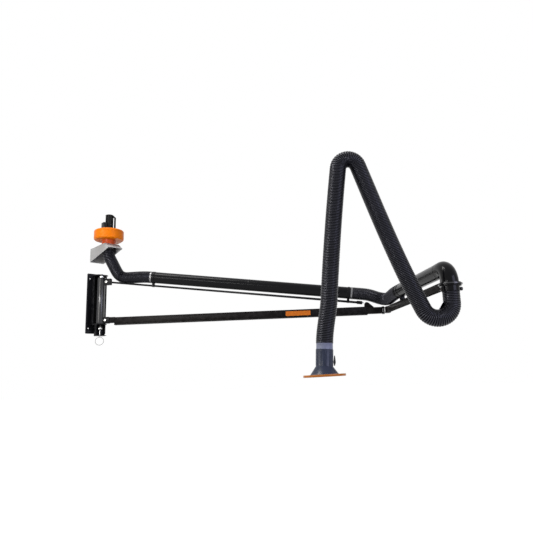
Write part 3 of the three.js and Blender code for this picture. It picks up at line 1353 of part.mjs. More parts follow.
const knuckle_lead_1 = 215;
const knuckle_lead_2 = 150;
const knuckle_sag = 42;
const knuckle_trims = [80, 160, 70];
const duct_1_outlet = duct_1_ends[1].clone().addScaledVector(duct_1_way, seat_gap);
const duct_2_mouth = duct_2_inlet.clone().addScaledVector(duct_2_way, -seat_gap);
const knuckle_reach = duct_2_mouth.clone().sub(duct_1_outlet).cross(duct_2_way).z / duct_1_way.clone().cross(duct_2_way).z;
const knuckle_corner = duct_1_outlet.clone().addScaledVector(duct_1_way, knuckle_reach);
const knuckle_route = rounded_route([
  duct_1_outlet,
  duct_1_outlet.clone().addScaledVector(duct_1_way, knuckle_lead_1),
  knuckle_corner.setZ(duct_2_mouth.z - knuckle_sag),
  duct_2_mouth.clone().addScaledVector(duct_2_way, -knuckle_lead_2),
  duct_2_mouth,
], knuckle_trims);
piece(arm, "knuckle_hose", ribbed_hose(knuckle_route, 0, knuckle_route.getLength(), 2), hose_black);

export default arm;
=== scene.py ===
# Fume extraction arm on a wall bracket: the looks of every piece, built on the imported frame.
import json
import math

import bpy
from mathutils import Matrix, Vector

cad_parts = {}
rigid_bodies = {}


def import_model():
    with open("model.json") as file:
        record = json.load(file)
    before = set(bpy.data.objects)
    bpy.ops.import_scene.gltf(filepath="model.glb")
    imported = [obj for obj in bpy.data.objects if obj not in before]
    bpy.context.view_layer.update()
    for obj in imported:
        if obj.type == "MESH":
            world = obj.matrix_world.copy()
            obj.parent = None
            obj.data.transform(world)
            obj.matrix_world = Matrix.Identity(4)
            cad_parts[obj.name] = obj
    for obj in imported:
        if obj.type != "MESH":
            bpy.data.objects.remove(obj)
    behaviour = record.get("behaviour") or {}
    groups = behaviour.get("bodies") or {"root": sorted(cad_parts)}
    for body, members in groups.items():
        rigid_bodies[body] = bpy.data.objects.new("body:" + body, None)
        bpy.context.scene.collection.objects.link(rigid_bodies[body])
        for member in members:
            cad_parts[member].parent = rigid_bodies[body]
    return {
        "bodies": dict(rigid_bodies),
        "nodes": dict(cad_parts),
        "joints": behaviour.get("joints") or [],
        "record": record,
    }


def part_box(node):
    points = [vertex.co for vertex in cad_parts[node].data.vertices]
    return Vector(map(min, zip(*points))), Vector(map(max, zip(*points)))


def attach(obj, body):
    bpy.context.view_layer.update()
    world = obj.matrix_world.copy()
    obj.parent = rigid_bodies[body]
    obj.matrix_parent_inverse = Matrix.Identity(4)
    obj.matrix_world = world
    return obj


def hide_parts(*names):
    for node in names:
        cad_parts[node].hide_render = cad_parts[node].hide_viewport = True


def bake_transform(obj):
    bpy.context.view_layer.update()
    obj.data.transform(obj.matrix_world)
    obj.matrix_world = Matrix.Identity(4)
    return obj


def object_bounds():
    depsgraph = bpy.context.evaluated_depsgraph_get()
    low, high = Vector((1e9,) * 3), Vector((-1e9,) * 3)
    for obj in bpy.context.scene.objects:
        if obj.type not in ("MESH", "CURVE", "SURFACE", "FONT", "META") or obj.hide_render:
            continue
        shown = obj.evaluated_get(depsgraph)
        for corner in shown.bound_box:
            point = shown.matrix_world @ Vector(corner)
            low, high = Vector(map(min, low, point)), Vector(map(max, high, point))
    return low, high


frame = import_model()
cad_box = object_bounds()

# Camera. It stands out in the room level with the hood's mouth, and looks up past the arm at the wall
# bracket, as in the photograph.
camera_data = bpy.data.cameras.new("camera")
camera_data.lens = 36.28
camera_data.sensor_width = 36.0
camera_data.clip_end = 60.0
camera = bpy.data.objects.new("camera", camera_data)
bpy.context.scene.collection.objects.link(camera)
camera_place = Vector((7.4144, -3.3070, -1.1174))
camera_pitch = math.radians(11.6865)
camera_yaw = math.radians(48.1306)
camera_roll = math.radians(1.6608)
level_right = Vector((math.cos(camera_yaw), math.sin(camera_yaw), 0))
looking = Vector((
    -math.sin(camera_yaw) * math.cos(camera_pitch),
    math.cos(camera_yaw) * math.cos(camera_pitch),
    math.sin(camera_pitch),
))
level_up = level_right.cross(looking)
right = math.cos(camera_roll) * level_right - math.sin(camera_roll) * level_up
up = math.sin(camera_roll) * level_right + math.cos(camera_roll) * level_up
camera.matrix_world = Matrix.Translation(camera_place) @ Matrix((right, up, -looking)).transposed().to_4x4()
bpy.context.scene.camera = camera

# Studio. A pale floor well under the hood, a white surround that the camera and bright metal see, and
# softboxes: a warm one and a long strip from the left, a cool one from the right and one from above.
def mapped(tree, source, low, high, to_low, to_high):
    node = tree.nodes.new("ShaderNodeMapRange")
    for socket, value in (("From Min", low), ("From Max", high), ("To Min", to_low), ("To Max", to_high)):
        node.inputs[socket].default_value = value
    tree.links.new(source, node.inputs["Value"])
    return node.outputs["Result"]


def worked(tree, operation, a, b):
    """What a Math node makes of two outputs."""
    node = tree.nodes.new("ShaderNodeMath")
    node.operation = operation
    tree.links.new(a, node.inputs[0])
    tree.links.new(b, node.inputs[1])
    return node.outputs[0]


def mixed(tree, factor, a, b):
    """The mix of two colours, each a tuple or another node's output."""
    node = tree.nodes.new("ShaderNodeMix")
    node.data_type = "RGBA"
    tree.links.new(factor, node.inputs["Factor"])
    for socket, value in ((node.inputs[6], a), (node.inputs[7], b)):
        if isinstance(value, tuple):
            socket.default_value = value
        else:
            tree.links.new(value, socket)
    return node.outputs[2]


room_under_hood = 0.85
floor_level = cad_box[0][2] - room_under_hood
bpy.ops.object.select_all(action="DESELECT")
bpy.ops.mesh.primitive_plane_add(size=60, location=(3, 1, floor_level))
floor = bpy.context.object
floor.name = "floor"
floor_material = bpy.data.materials.new("pale floor")
floor_material.use_nodes = True
floor_tree = floor_material.node_tree
floor_nodes = floor_tree.nodes
floor_links = floor_tree.links
floor_shader = floor_nodes["Principled BSDF"]
floor_shader.inputs["Roughness"].default_value = 0.9
floor_noise = floor_nodes.new("ShaderNodeTexNoise")
floor_noise.inputs["Scale"].default_value = 0.7
floor_tint = mixed(floor_tree, floor_noise.outputs["Fac"], (0.53, 0.53, 0.53, 1), (0.55, 0.55, 0.55, 1))
floor_links.new(floor_tint, floor_shader.inputs["Base Color"])
floor_place = floor_nodes.new("ShaderNodeTexCoord")
floor_reach = floor_nodes.new("ShaderNodeVectorMath")
floor_reach.operation = "LENGTH"
floor_links.new(floor_place.outputs["Object"], floor_reach.inputs[0])
floor_lift = mapped(floor_tree, floor_reach.outputs["Value"], 1.5, 12, 0.60, 0.79)
floor_ray = floor_nodes.new("ShaderNodeLightPath")
floor_seen = worked(floor_tree, "MAXIMUM", floor_ray.outputs["Is Camera Ray"], floor_ray.outputs["Is Glossy Ray"])
floor_white = worked(floor_tree, "MULTIPLY", floor_seen, floor_lift)
floor_links.new(floor_white, floor_shader.inputs["Emission Strength"])
floor_shader.inputs["Emission Color"].default_value = (1, 1, 1, 1)
floor.data.materials.append(floor_material)

world = bpy.data.worlds.new("white room")
bpy.context.scene.world = world
world.use_nodes = True
world_tree = world.node_tree
background = world_tree.nodes["Background"]
ray = world_tree.nodes.new("ShaderNodeLightPath")
seen = worked(world_tree, "MAXIMUM", ray.outputs["Is Camera Ray"], ray.outputs["Is Glossy Ray"])
seen_through = worked(world_tree, "MAXIMUM", seen, ray.outputs["Is Transmission Ray"])
world_tree.links.new(mapped(world_tree, seen_through, 0, 1, 0.42, 1.0), background.inputs["Strength"])
background.inputs["Color"].default_value = (1, 1, 1, 1)


def soft_lamp(name, place, aim, width, height, power, colour):
    """A softbox of a width and height in metres and a power in watts."""
    lamp = bpy.data.lights.new(name, "AREA")
    lamp.shape = "RECTANGLE"
    lamp.size = width
    lamp.size_y = height
    lamp.energy = power
    lamp.color = colour
    lamp_object = bpy.data.objects.new(name, lamp)
    bpy.context.scene.collection.objects.link(lamp_object)
    lamp_object.location = place
    lamp_object.rotation_euler = (Vector(aim) - Vector(place)).to_track_quat("-Z", "Y").to_euler()


soft_lamp("left softbox", (1.2, -2.7, 0.6), (1.6, 0.6, 0.2), 1.1, 3.2, 48, (1.0, 0.97, 0.92))
soft_lamp("front strip", (3.1, -3.6, 0.75), (2.6, 1.4, 0.2), 3.6, 0.35, 70, (1.0, 1.0, 1.0))
soft_lamp("right softbox", (9.4, 0.9, 1.0), (4.0, 0.9, 0.2), 3.0, 3.6, 170, (0.70, 0.72, 1.0))
soft_lamp("top softbox", (1.6, -1.2, 5.6), (3.0, 0.9, 0.2), 2.4, 2.4, 180, (1.0, 0.99, 0.97))
bpy.context.scene.view_settings.view_transform = "Standard"

# Wall bracket: a powder-coated plate with four bolt holes, a folded channel behind the mast, and an
# ear above and below it, welded together from thick sheet. The cut edges are broken by hand.
body_of = {node: body for body, nodes in frame["record"]["behaviour"]["bodies"].items() for node in nodes}


def start_fresh():
    if bpy.context.object and bpy.context.object.mode != "OBJECT":
        bpy.ops.object.mode_set(mode="OBJECT")
    bpy.ops.object.select_all(action="DESELECT")


def pick(piece):
    start_fresh()
    piece.select_set(True)
    bpy.context.view_layer.objects.active = piece


def apply_modifiers(piece):
    pick(piece)
    for modifier in list(piece.modifiers):
        bpy.ops.object.modifier_apply(modifier=modifier.name)


def soften_edges(piece, width, segments=2, angle=0.6):
    bevel = piece.modifiers.new("broken edges", "BEVEL")
    bevel.width = width
    bevel.segments = segments
    bevel.limit_method = "ANGLE"
    bevel.angle_limit = angle
    bevel.use_clamp_overlap = True
    apply_modifiers(piece)
    bpy.ops.object.shade_smooth_by_angle(angle=math.radians(38))


def finish_piece(piece, node, slot, *materials):
    """Give a finished piece its materials and let it stand for a CAD node, on that node's body."""
    for material in materials:
        piece.data.materials.append(material)
    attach(piece, body_of[node])
    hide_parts(node)


def from_node(node, name, edge, slot, material):
    """A copy of a CAD solid with its loose triangles joined up and its edges broken."""
    mesh = frame["nodes"][node].data.copy()
    mesh.materials.clear()
    piece = bpy.data.objects.new(name, mesh)
    bpy.context.scene.collection.objects.link(piece)
    pick(piece)
    bpy.ops.object.mode_set(mode="EDIT")
    bpy.ops.mesh.select_all(action="SELECT")
    bpy.ops.mesh.remove_doubles(threshold=0.00002)
    bpy.ops.mesh.dissolve_limited(angle_limit=math.radians(0.6))
    bpy.ops.object.mode_set(mode="OBJECT")
    soften_edges(piece, edge)
    finish_piece(piece, node, slot, material)
    return piece


def skin_group(name, inputs):
    """A node group that makes a skin's colour, roughness and height out of its inputs."""
    group = bpy.data.node_groups.new(name, "ShaderNodeTree")
    for label, value in inputs.items():
        kind = "NodeSocketColor" if isinstance(value, tuple) else "NodeSocketFloat"
        group.interface.new_socket(label, in_out="INPUT", socket_type=kind).default_value = value
    for label, kind in (("Colour", "NodeSocketColor"), ("Roughness", "NodeSocketFloat"), ("Height", "NodeSocketFloat")):
        group.interface.new_socket(label, in_out="OUTPUT", socket_type=kind)
    return group, group.nodes.new("NodeGroupInput"), group.nodes.new("NodeGroupOutput")


def noise_at(tree, scale, detail, stretch=(1, 1, 1)):
    place = tree.nodes.new("ShaderNodeTexCoord")
    mapping = tree.nodes.new("ShaderNodeMapping")
    mapping.inputs["Scale"].default_value = stretch
    noise = tree.nodes.new("ShaderNodeTexNoise")
    noise.inputs["Scale"].default_value = scale
    noise.inputs["Detail"].default_value = detail
    tree.links.new(place.outputs["Object"], mapping.inputs["Vector"])
    tree.links.new(mapping.outputs["Vector"], noise.inputs["Vector"])
    return noise


def roughened(tree, source, noise, low, high):
    """A group's own roughness, shifted up and down by a noise."""
    return worked(tree, "ADD", mapped(tree, noise.outputs["Fac"], 0.3, 0.7, low, high), source.outputs["Roughness"])


# The coat's skin: faint clouds of tone, an orange-peel grain, and rubbed edges
coat_group, coat_in, coat_out = skin_group("coat skin", {
    "Colour": (0.03, 0.03, 0.03, 1), "Rubbed": (0.2, 0.2, 0.2, 1), "Rubbing": 0.4, "Roughness": 0.4})
clouds = noise_at(coat_group, 2.6, 4)
peel = noise_at(coat_group, 420, 2)
smears = noise_at(coat_group, 17, 6)
deeper = coat_group.nodes.new("ShaderNodeHueSaturation")
deeper.inputs["Value"].default_value = 0.82
coat_group.links.new(coat_in.outputs["Colour"], deeper.inputs["Color"])
cloud_mask = mapped(coat_group, clouds.outputs["Fac"], 0.35, 0.65, 0, 1)
toned = mixed(coat_group, cloud_mask, coat_in.outputs["Colour"], deeper.outputs["Color"])
edges = coat_group.nodes.new("ShaderNodeNewGeometry")
edge_mask = mapped(coat_group, edges.outputs["Pointiness"], 0.53, 0.62, 0, 1)
smear_mask = mapped(coat_group, smears.outputs["Fac"], 0.42, 0.62, 0, 1)
broken_edges = worked(coat_group, "MULTIPLY", edge_mask, smear_mask)
rubbing = worked(coat_group, "MULTIPLY", broken_edges, coat_in.outputs["Rubbing"])
coat_group.links.new(mixed(coat_group, rubbing, toned, coat_in.outputs["Rubbed"]), coat_out.inputs["Colour"])
coat_group.links.new(roughened(coat_group, coat_in, smears, -0.06, 0.07), coat_out.inputs["Roughness"])
coat_group.links.new(peel.outputs["Fac"], coat_out.inputs["Height"])


def skinned(name, group, depth, relief, values):
    """A material whose colour, roughness and relief come from a skin group with its own values."""
    material = bpy.data.materials.new(name)
    material.use_nodes = True
    tree = material.node_tree
    shader = tree.nodes["Principled BSDF"]
    skin = tree.nodes.new("ShaderNodeGroup")
    skin.node_tree = group
    for socket, value in values.items():
        skin.inputs[socket].default_value = (*value, 1) if isinstance(value, tuple) else value
    bump = tree.nodes.new("ShaderNodeBump")
    bump.inputs["Distance"].default_value = depth
    bump.inputs["Strength"].default_value = relief
    tree.links.new(skin.outputs["Colour"], shader.inputs["Base Color"])
    tree.links.new(skin.outputs["Roughness"], shader.inputs["Roughness"])
    tree.links.new(skin.outputs["Height"], bump.inputs["Height"])
    tree.links.new(bump.outputs["Normal"], shader.inputs["Normal"])
    return material, shader


def coated(name, colour, rubbed, roughness, peel_depth=0.00012, rubbing=0.45, gleam=0.5):
    material, shader = skinned(name, coat_group, depth=peel_depth, relief=0.6, values={
        "Colour": colour, "Rubbed": rubbed, "Rubbing": rubbing, "Roughness": roughness})
    shader.inputs["Specular IOR Level"].default_value = gleam
    return material


black_coat = coated("satin black coat", (0.0045, 0.0045, 0.0055), (0.05, 0.05, 0.055), 0.34, gleam=0.10)
for node, name, edge in (
    ("wall_plate", "bracket_plate", 0.0012), ("bracket_channel", "bracket_channel_dressed", 0.0015),
    ("upper_ear", "bracket_top_ear", 0.0015), ("lower_ear", "bracket_ear_and_stirrup", 0.0012),
):
    from_node(node, name, edge, "satin_black", black_coat)

# Upper pivot bolt: a turned steel collar between ear and mast, and a hexagon head with its washer on
# top of the ear. Zinc plated, it carries the mast's upper end.
plate_group, plate_in, plate_out = skin_group("plated skin", {
    "Colour": (0.6, 0.6, 0.6, 1), "Stain": (0.2, 0.2, 0.2, 1), "Roughness": 0.3})
spangle = noise_at(plate_group, 60, 3)
stain = noise_at(plate_group, 9, 6)
scratch = noise_at(plate_group, 160, 4, (1, 1, 14))
stain_mask = mapped(plate_group, stain.outputs["Fac"], 0.52, 0.75, 0, 0.7)
plate_group.links.new(
    mixed(plate_group, stain_mask, plate_in.outputs["Colour"], plate_in.outputs["Stain"]), plate_out.inputs["Colour"])
plate_group.links.new(roughened(plate_group, plate_in, spangle, -0.07, 0.1), plate_out.inputs["Roughness"])
plate_group.links.new(scratch.outputs["Fac"], plate_out.inputs["Height"])


def plated(name, colour, stain_colour, roughness, metallic=1.0):
    material, shader = skinned(name, plate_group, depth=0.00008, relief=0.5, values={
        "Colour": colour, "Stain": stain_colour, "Roughness": roughness})
    shader.inputs["Metallic"].default_value = metallic
    return material


def thrown(name, profile, sides=48, smooth=38):
    """A turned form drawn up ring by ring from a circle, from (radius, height) pairs in metres."""
    start_fresh()
    radius, height = profile[0]
    bpy.ops.mesh.primitive_circle_add(vertices=sides, radius=radius, location=(0, 0, height), enter_editmode=True)
    piece = bpy.context.object
    piece.name = name
    for next_radius, next_height in profile[1:]:
        bpy.ops.mesh.extrude_region_move(TRANSFORM_OT_translate={"value": (0, 0, next_height - height)})
        grow = next_radius / radius
        bpy.ops.transform.resize(value=(grow, grow, 1), center_override=(0, 0, next_height))
        radius, height = next_radius, next_height
    bpy.ops.mesh.select_all(action="SELECT")
    bpy.ops.mesh.remove_doubles(threshold=0.00001)
    bpy.ops.mesh.fill_holes(sides=0)
    bpy.ops.mesh.select_all(action="SELECT")
    bpy.ops.mesh.normals_make_consistent(inside=False)
    bpy.ops.object.mode_set(mode="OBJECT")
    bpy.ops.object.shade_smooth_by_angle(angle=math.radians(smooth))
    return piece


def set_down(piece, place):
    """Puts a piece made at the origin in its place, and leaves that place in its mesh."""
    piece.matrix_world = place @ piece.matrix_world
    pick(piece)
    bpy.ops.object.transform_apply(location=True, rotation=True, scale=True)
    return piece


def made_one(name, first, *others):
    start_fresh()
    for other in others:
        other.select_set(True)
    first.select_set(True)
    bpy.context.view_layer.objects.active = first
    bpy.ops.object.join()
    first.name = name
    return first


def facing(direction, place=(0, 0, 0)):
    turn = Vector((0, 0, 1)).rotation_difference(Vector(direction)).to_matrix().to_4x4()
    return Matrix.Translation(place) @ turn


def hex_head(radius, height, bottom):
    shoulder = bottom + height * 0.8
    crown = [(radius * 0.4, bottom), (radius, bottom), (radius, shoulder), (radius * 0.62, bottom + height)]
    return thrown("hexagon", crown, sides=6, smooth=10)


zinc = plated("zinc plate", (0.66, 0.66, 0.64), (0.42, 0.42, 0.40), 0.27)
mast_offset = 0.15
mast_frame = Matrix.Translation((mast_offset, 0, 0))
pivot_collar = thrown("pivot_collar", [
    (0.0135, 0.316), (0.014, 0.3575), (0.028, 0.3575), (0.03, 0.3595), (0.03, 0.3857), (0.0285, 0.3872),
    (0.014, 0.3877), (0.014, 0.4003), (0.026, 0.4003), (0.026, 0.4035), (0.014, 0.4037), (0.014, 0.41),
], sides=40)
upper_pivot_bolt = made_one("upper_pivot_bolt_turned", pivot_collar, hex_head(0.0235, 0.0105, 0.4035))
set_down(upper_pivot_bolt, mast_frame)
finish_piece(upper_pivot_bolt, "upper_pivot_bolt", "zinc", zinc)

# Locking plunger and its pull ring: a turned steel cone that enters the mast's foot from below, on a
# rod with a welded eye, and an oval of bent wire that hangs in the eye.
lock_turn = Matrix.Rotation(math.radians(-42), 4, "Z")
plunger_cone = thrown("plunger_cone", [
    (0.0078, -0.488), (0.008, -0.470), (0.008, -0.392), (0.0085, -0.388), (0.031, -0.3815), (0.0335, -0.3795),
    (0.034, -0.376), (0.034, -0.3705), (0.0325, -0.3675), (0.0115, -0.319), (0.0095, -0.3172),
], sides=44)
eye_start = thrown("plunger_eye", [
    (0.0052, -0.004), (0.0105, -0.004), (0.0112, -0.0025), (0.0112, 0.0025), (0.0105, 0.004), (0.0052, 0.004),
    (0.0052, -0.004),
], sides=28)
set_down(eye_start, facing((0, 1, 0), (0, 0, -0.489)))
lock_plunger = set_down(made_one("lock_plunger_turned", plunger_cone, eye_start), mast_frame @ lock_turn)
finish_piece(lock_plunger, "lock_plunger", "zinc", zinc)

start_fresh()
bpy.ops.mesh.primitive_torus_add(major_radius=0.059, minor_radius=0.0026, major_segments=64, minor_segments=12)
pull_ring = bpy.context.object
bpy.ops.object.mode_set(mode="EDIT")
bpy.ops.mesh.select_all(action="SELECT")
oval = 0.949
bpy.ops.transform.resize(value=(oval, 1, 1), center_override=(0, 0, 0))
bpy.ops.object.mode_set(mode="OBJECT")
pull_ring.name = "pull_ring_wire"
ring_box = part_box("pull_ring")
ring_middle = (Vector(ring_box[0]) + Vector(ring_box[1])) / 2
upright = Matrix.Rotation(math.radians(90), 4, "Y")
set_down(pull_ring, Matrix.Translation(ring_middle) @ lock_turn @ upright)
bpy.ops.object.shade_smooth()
finish_piece(pull_ring, "pull_ring", "zinc", plated("dull wire", (0.02, 0.02, 0.02), (0.01, 0.01, 0.01), 0.5, 0.0))

# Mast: a thick steel tube with bored ends and two pairs of welded lugs, powder coated black. The
# swinging boom's bolts pass through the lugs.
gloss_coat = coated("glossy black coat", (0.005, 0.005, 0.007), (0.03, 0.03, 0.035), 0.18,
                    peel_depth=0.00001, rubbing=0.1, gleam=0.6)
mast = from_node("mast_tube", "mast_with_lugs", 0.001, "satin_black", gloss_coat)
mast.data.materials.append(black_coat)
lugs_begin = 0.058
for face in mast.data.polygons:
    if math.hypot(face.center.x - mast_offset, face.center.y) > lugs_begin:
        face.material_index = 1
boom_1_frame = mast_frame @ Matrix.Rotation(math.radians(42), 4, "Z")
lug_reach, stay_level, beam_level = 0.08, 0.296, -0.256
for node, level in (("stay_bolt", stay_level), ("beam_bolt", beam_level)):
    shank = thrown("shank", [
        (0.0098, -0.033), (0.0098, -0.0256), (0.0165, -0.0255), (0.0165, -0.0226), (0.0098, -0.0225),
        (0.0098, 0.0225), (0.0165, 0.0226), (0.0165, 0.0255), (0.0098, 0.0256), (0.0098, 0.033),
    ], sides=32)
    head_1 = hex_head(0.0165, 0.0075, 0.0255)
    head_2 = set_down(hex_head(0.0165, 0.0075, 0.0255), Matrix.Rotation(math.pi, 4, "X"))
    lug_bolt = made_one(node + "_with_nut", shank, head_1, head_2)
    set_down(lug_bolt, boom_1_frame @ facing((0, 1, 0), (lug_reach, 0, level)))
    finish_piece(lug_bolt, node, "zinc", zinc)

# Fan console: a folded frame of back plate and two gussets, with a shelf whose nose is bent down. Pale
# grey coat on sheet steel, with a dark grey on the shelf's downward faces as painted shade.
grey_coat = coated("pale grey coat", (0.37, 0.37, 0.37), (0.55, 0.55, 0.55), 0.42, gleam=0.3)
# A dark grey for the faces under the shelf: painted shade.
underside_painted_shade = coated("painted shade under the shelf", (0.10, 0.095, 0.09), (0.2, 0.2, 0.2), 0.5, gleam=0.15)
from_node("console_frame", "console_frame_folded", 0.0008, "console_grey", grey_coat)
console_shelf = from_node("console_shelf", "console_shelf_folded", 0.0012, "console_grey", grey_coat)
console_shelf.data.materials.append(underside_painted_shade)
# Faces that look straight down get the painted shade.
for face in console_shelf.data.polygons:
    if face.normal.z < -0.9 and face.area > 0.001:
        face.material_index = 1

# Fan: inlet neck and drum, spun and rolled from sheet and coated orange, with a rolled bead on each
# rim and a flanged square outlet at the back; the neck under the drum is a darker orange, painted shade. The rotor is
# inside.
orange_coat = coated("orange coat", (0.86, 0.205, 0.001), (0.50, 0.09, 0.005), 0.36,
                     peel_depth=0.0001, rubbing=0.3, gleam=0.14)
# A darker, redder copy of the orange coat for the neck under the drum: painted shade.
orange_coat_painted_shade = coated("orange coat with painted shade", (0.55, 0.07, 0.005), (0.34, 0.05, 0.008), 0.38,
                          peel_depth=0.0001, rubbing=0.3, gleam=0.2)
fan_x, fan_y = 0.373, -0.012
fan_frame = Matrix.Translation((fan_x, fan_y, 0.8))
neck = thrown("fan_neck_spun", [
    (0.077, -0.066), (0.0795, -0.066), (0.08, -0.064), (0.08, 0.0003), (0.096, 0.0003), (0.097, 0.002),
    (0.097, 0.009), (0.0945, 0.012), (0.0945, 0.056), (0.0965, 0.059), (0.097, 0.0657), (0.077, 0.0657),
    (0.077, -0.066),
], sides=72)
set_down(neck, fan_frame)
finish_piece(neck, "fan_inlet_neck", "fan_orange", orange_coat_painted_shade)


def rounded_rim(radius, height, round_radius, start, end, steps=6):
    """Points of a quarter round, its centre set in from the rim; angles in degrees from outwards."""
    angles = [math.radians(start + (end - start) * i / steps) for i in range(steps + 1)]
    return [(radius - round_radius + round_radius * math.cos(angle), height + round_radius * math.sin(angle))
            for angle in angles]


drum_radius = 0.206
drum_profile = [(0.078, 0.0662)] + rounded_rim(drum_radius, 0.090, 0.024, -90, 0) + [
    (drum_radius, 0.100), (0.2045, 0.1015), (0.2045, 0.1045), (drum_radius, 0.106),
    (drum_radius, 0.170), (0.2045, 0.1715), (0.2045, 0.1745), (drum_radius, 0.176),
] + rounded_rim(drum_radius, 0.186, 0.024, 0, 90) + [
    (0.150, 0.210), (0.147, 0.2075), (0.112, 0.2075), (0.109, 0.210), (0.0305, 0.210), (0.0305, 0.206),
    (0.18, 0.206), (0.202, 0.186), (0.202, 0.090), (0.182, 0.0702), (0.078, 0.0702), (0.078, 0.0662),
]
drum = thrown("fan_drum", drum_profile, sides=96, smooth=30)


def box_of(low, high):
    start_fresh()
    middle = [(a + b) / 2 for a, b in zip(low, high)]
    bpy.ops.mesh.primitive_cube_add(size=1, location=middle)
    block = bpy.context.object
    block.scale = [b - a for a, b in zip(low, high)]
    bpy.ops.object.transform_apply(location=True, rotation=True, scale=True)
    return block


outlet_cutter = box_of((-0.202, 0.0, 0.092), (-0.080, 0.30, 0.184))
opening = drum.modifiers.new("outlet opening", "BOOLEAN")
opening.operation = "DIFFERENCE"
opening.object = outlet_cutter
apply_modifiers(drum)
bpy.data.objects.remove(outlet_cutter)
outlet_walls = []
for lip, start, right_start, end in ((0, 0.03, 0.10, 0.230), (0.0005, 0.222, 0.222, 0.232)):
    left, right, bottom, top = -0.206 - lip, -0.076 + lip, 0.088 - lip, 0.188 + lip
    outlet_walls += [
        box_of((left, start, bottom), (-0.202, end, top)),
        box_of((-0.080, right_start, bottom), (right, end, top)),
        box_of((left, start, bottom), (right, end, 0.092)),
        box_of((left, start, 0.184), (right, end, top)),
    ]
for wall in outlet_walls:
    soften_edges(wall, 0.0006, 1)
fan_drum = made_one("fan_drum_and_outlet", drum, *outlet_walls)
set_down(fan_drum, fan_frame)
finish_piece(fan_drum, "fan_housing", "fan_orange", orange_coat)
rotor_coat = coated("rotor grey coat", (0.30, 0.31, 0.32), (0.5, 0.5, 0.5), 0.45)
from_node("impeller", "fan_rotor_welded", 0.0005, "rotor_grey", rotor_coat)
from_node("motor_shaft", "fan_shaft_turned", 0.0006, "zinc", zinc)

# Motor: a flanged, finned casting with a domed cowl, a terminal box on its near side and its lead,
# which leaves a gland at the top and arches down into the drum.
motor_paint = coated("motor enamel", (0.006, 0.006, 0.006), (0.03, 0.03, 0.03), 0.24,
                     peel_depth=0.00008, rubbing=0.2, gleam=0.22)
motor_core = thrown("motor_core", [
    (0.0105, 0.2103), (0.064, 0.2103), (0.066, 0.2123), (0.066, 0.2185), (0.0645, 0.2203), (0.051, 0.2210),
    (0.0485, 0.2225), (0.0485, 0.420), (0.0525, 0.4215), (0.054, 0.4235), (0.054, 0.4285), (0.0525, 0.4302),
    (0.0105, 0.4302), (0.0105, 0.2103),
], sides=64)
first_fin = box_of((0.047, -0.0012, 0.223), (0.0543, 0.0012, 0.422))
soften_edges(first_fin, 0.0007, 1)


def ring_of(first, count):
    """A piece and its copies, evenly round the Z axis, each with its own mesh."""
    ring = [first]
    for i in range(1, count):
        another = first.copy()
        another.data = first.data.copy()
        bpy.context.scene.collection.objects.link(another)
        ring.append(set_down(another, Matrix.Rotation(2 * math.pi * i / count, 4, "Z")))
    return ring


def bolt_ring(count, circle, radius, height, seat, frame=Matrix()):
    """Hexagon heads round a bolt circle, the first of them half a step from the X axis."""
    bolts = []
    for i in range(count):
        around = Matrix.Rotation(math.radians(360 * (i + 0.5) / count), 4, "Z")
        place = frame @ around @ Matrix.Translation((circle, 0, 0))
        bolts.append(set_down(hex_head(radius, height, seat), place))
    return bolts


motor_bolts = bolt_ring(4, 0.0595, 0.0052, 0.0045, seat=0.2202)
motor = made_one("motor_finned", motor_core, *ring_of(first_fin, 28), *motor_bolts)
set_down(motor, fan_frame)
finish_piece(motor, "motor_body", "motor_black", motor_paint)
cowl_radius, cowl_edge, dome = 0.057, 0.4373, 0.013
cowl_rings = [(0.0555, 0.4306), (cowl_radius, 0.432), (cowl_radius, cowl_edge)]
for degrees in (15, 30, 45, 58, 70, 80, 87):
    angle = math.radians(degrees)
    cowl_rings.append((cowl_radius * math.cos(angle), cowl_edge + dome * math.sin(angle)))
cowl = thrown("motor_cowl_pressed", cowl_rings, sides=64)
set_down(cowl, fan_frame)
finish_piece(cowl, "motor_cowl", "motor_black", motor_paint)
from_node("terminal_box", "terminal_box_cast", 0.003, "motor_black", motor_paint)
lead_rubber = coated("lead rubber", (0.006, 0.006, 0.006), (0.03, 0.03, 0.03), 0.5,
                     peel_depth=0.0002, rubbing=0.2, gleam=0.1)
lead = from_node("motor_lead", "motor_lead_moulded", 0.0006, "lead_black", lead_rubber)


def wrapped(piece, thickness, group=""):
    """Adds a sleeve's thickness to a piece, all over or on one of its vertex groups."""
    sleeve = piece.modifiers.new("sleeve", "DISPLACE")
    sleeve.vertex_group = group
    sleeve.strength = thickness
    sleeve.mid_level = 0
    apply_modifiers(piece)


wrapped(lead, 0.003)

# Stay: a long steel rod from the upper lug down to the beam's head, forked at its end, with a
# threaded adjuster. It holds the beam up and carries the first duct.
stay_fall, stay_run = 0.462, 3.632
stay_lean = Matrix.Rotation(math.atan2(stay_fall, stay_run), 4, "Y")
stay_frame = boom_1_frame @ Matrix.Translation((lug_reach, 0, stay_level)) @ stay_lean
stay = from_node("stay_rod", "stay_rod_forged", 0.0012, "satin_black", black_coat)
shank_group = stay.vertex_groups.new(name="shank")
shank_start, shank_end, fork_radius = 0.0195, 3.58, 0.0135
for vertex in stay.data.vertices:
    along = stay_frame.inverted() @ vertex.co
    if shank_start < along.x < shank_end and math.hypot(along.y, along.z) < fork_radius:
        shank_group.add([vertex.index], 1.0, "REPLACE")
wrapped(stay, 0.003, "shank")
from_node("stay_adjuster", "stay_adjuster_threaded", 0.0005, "zinc", zinc)

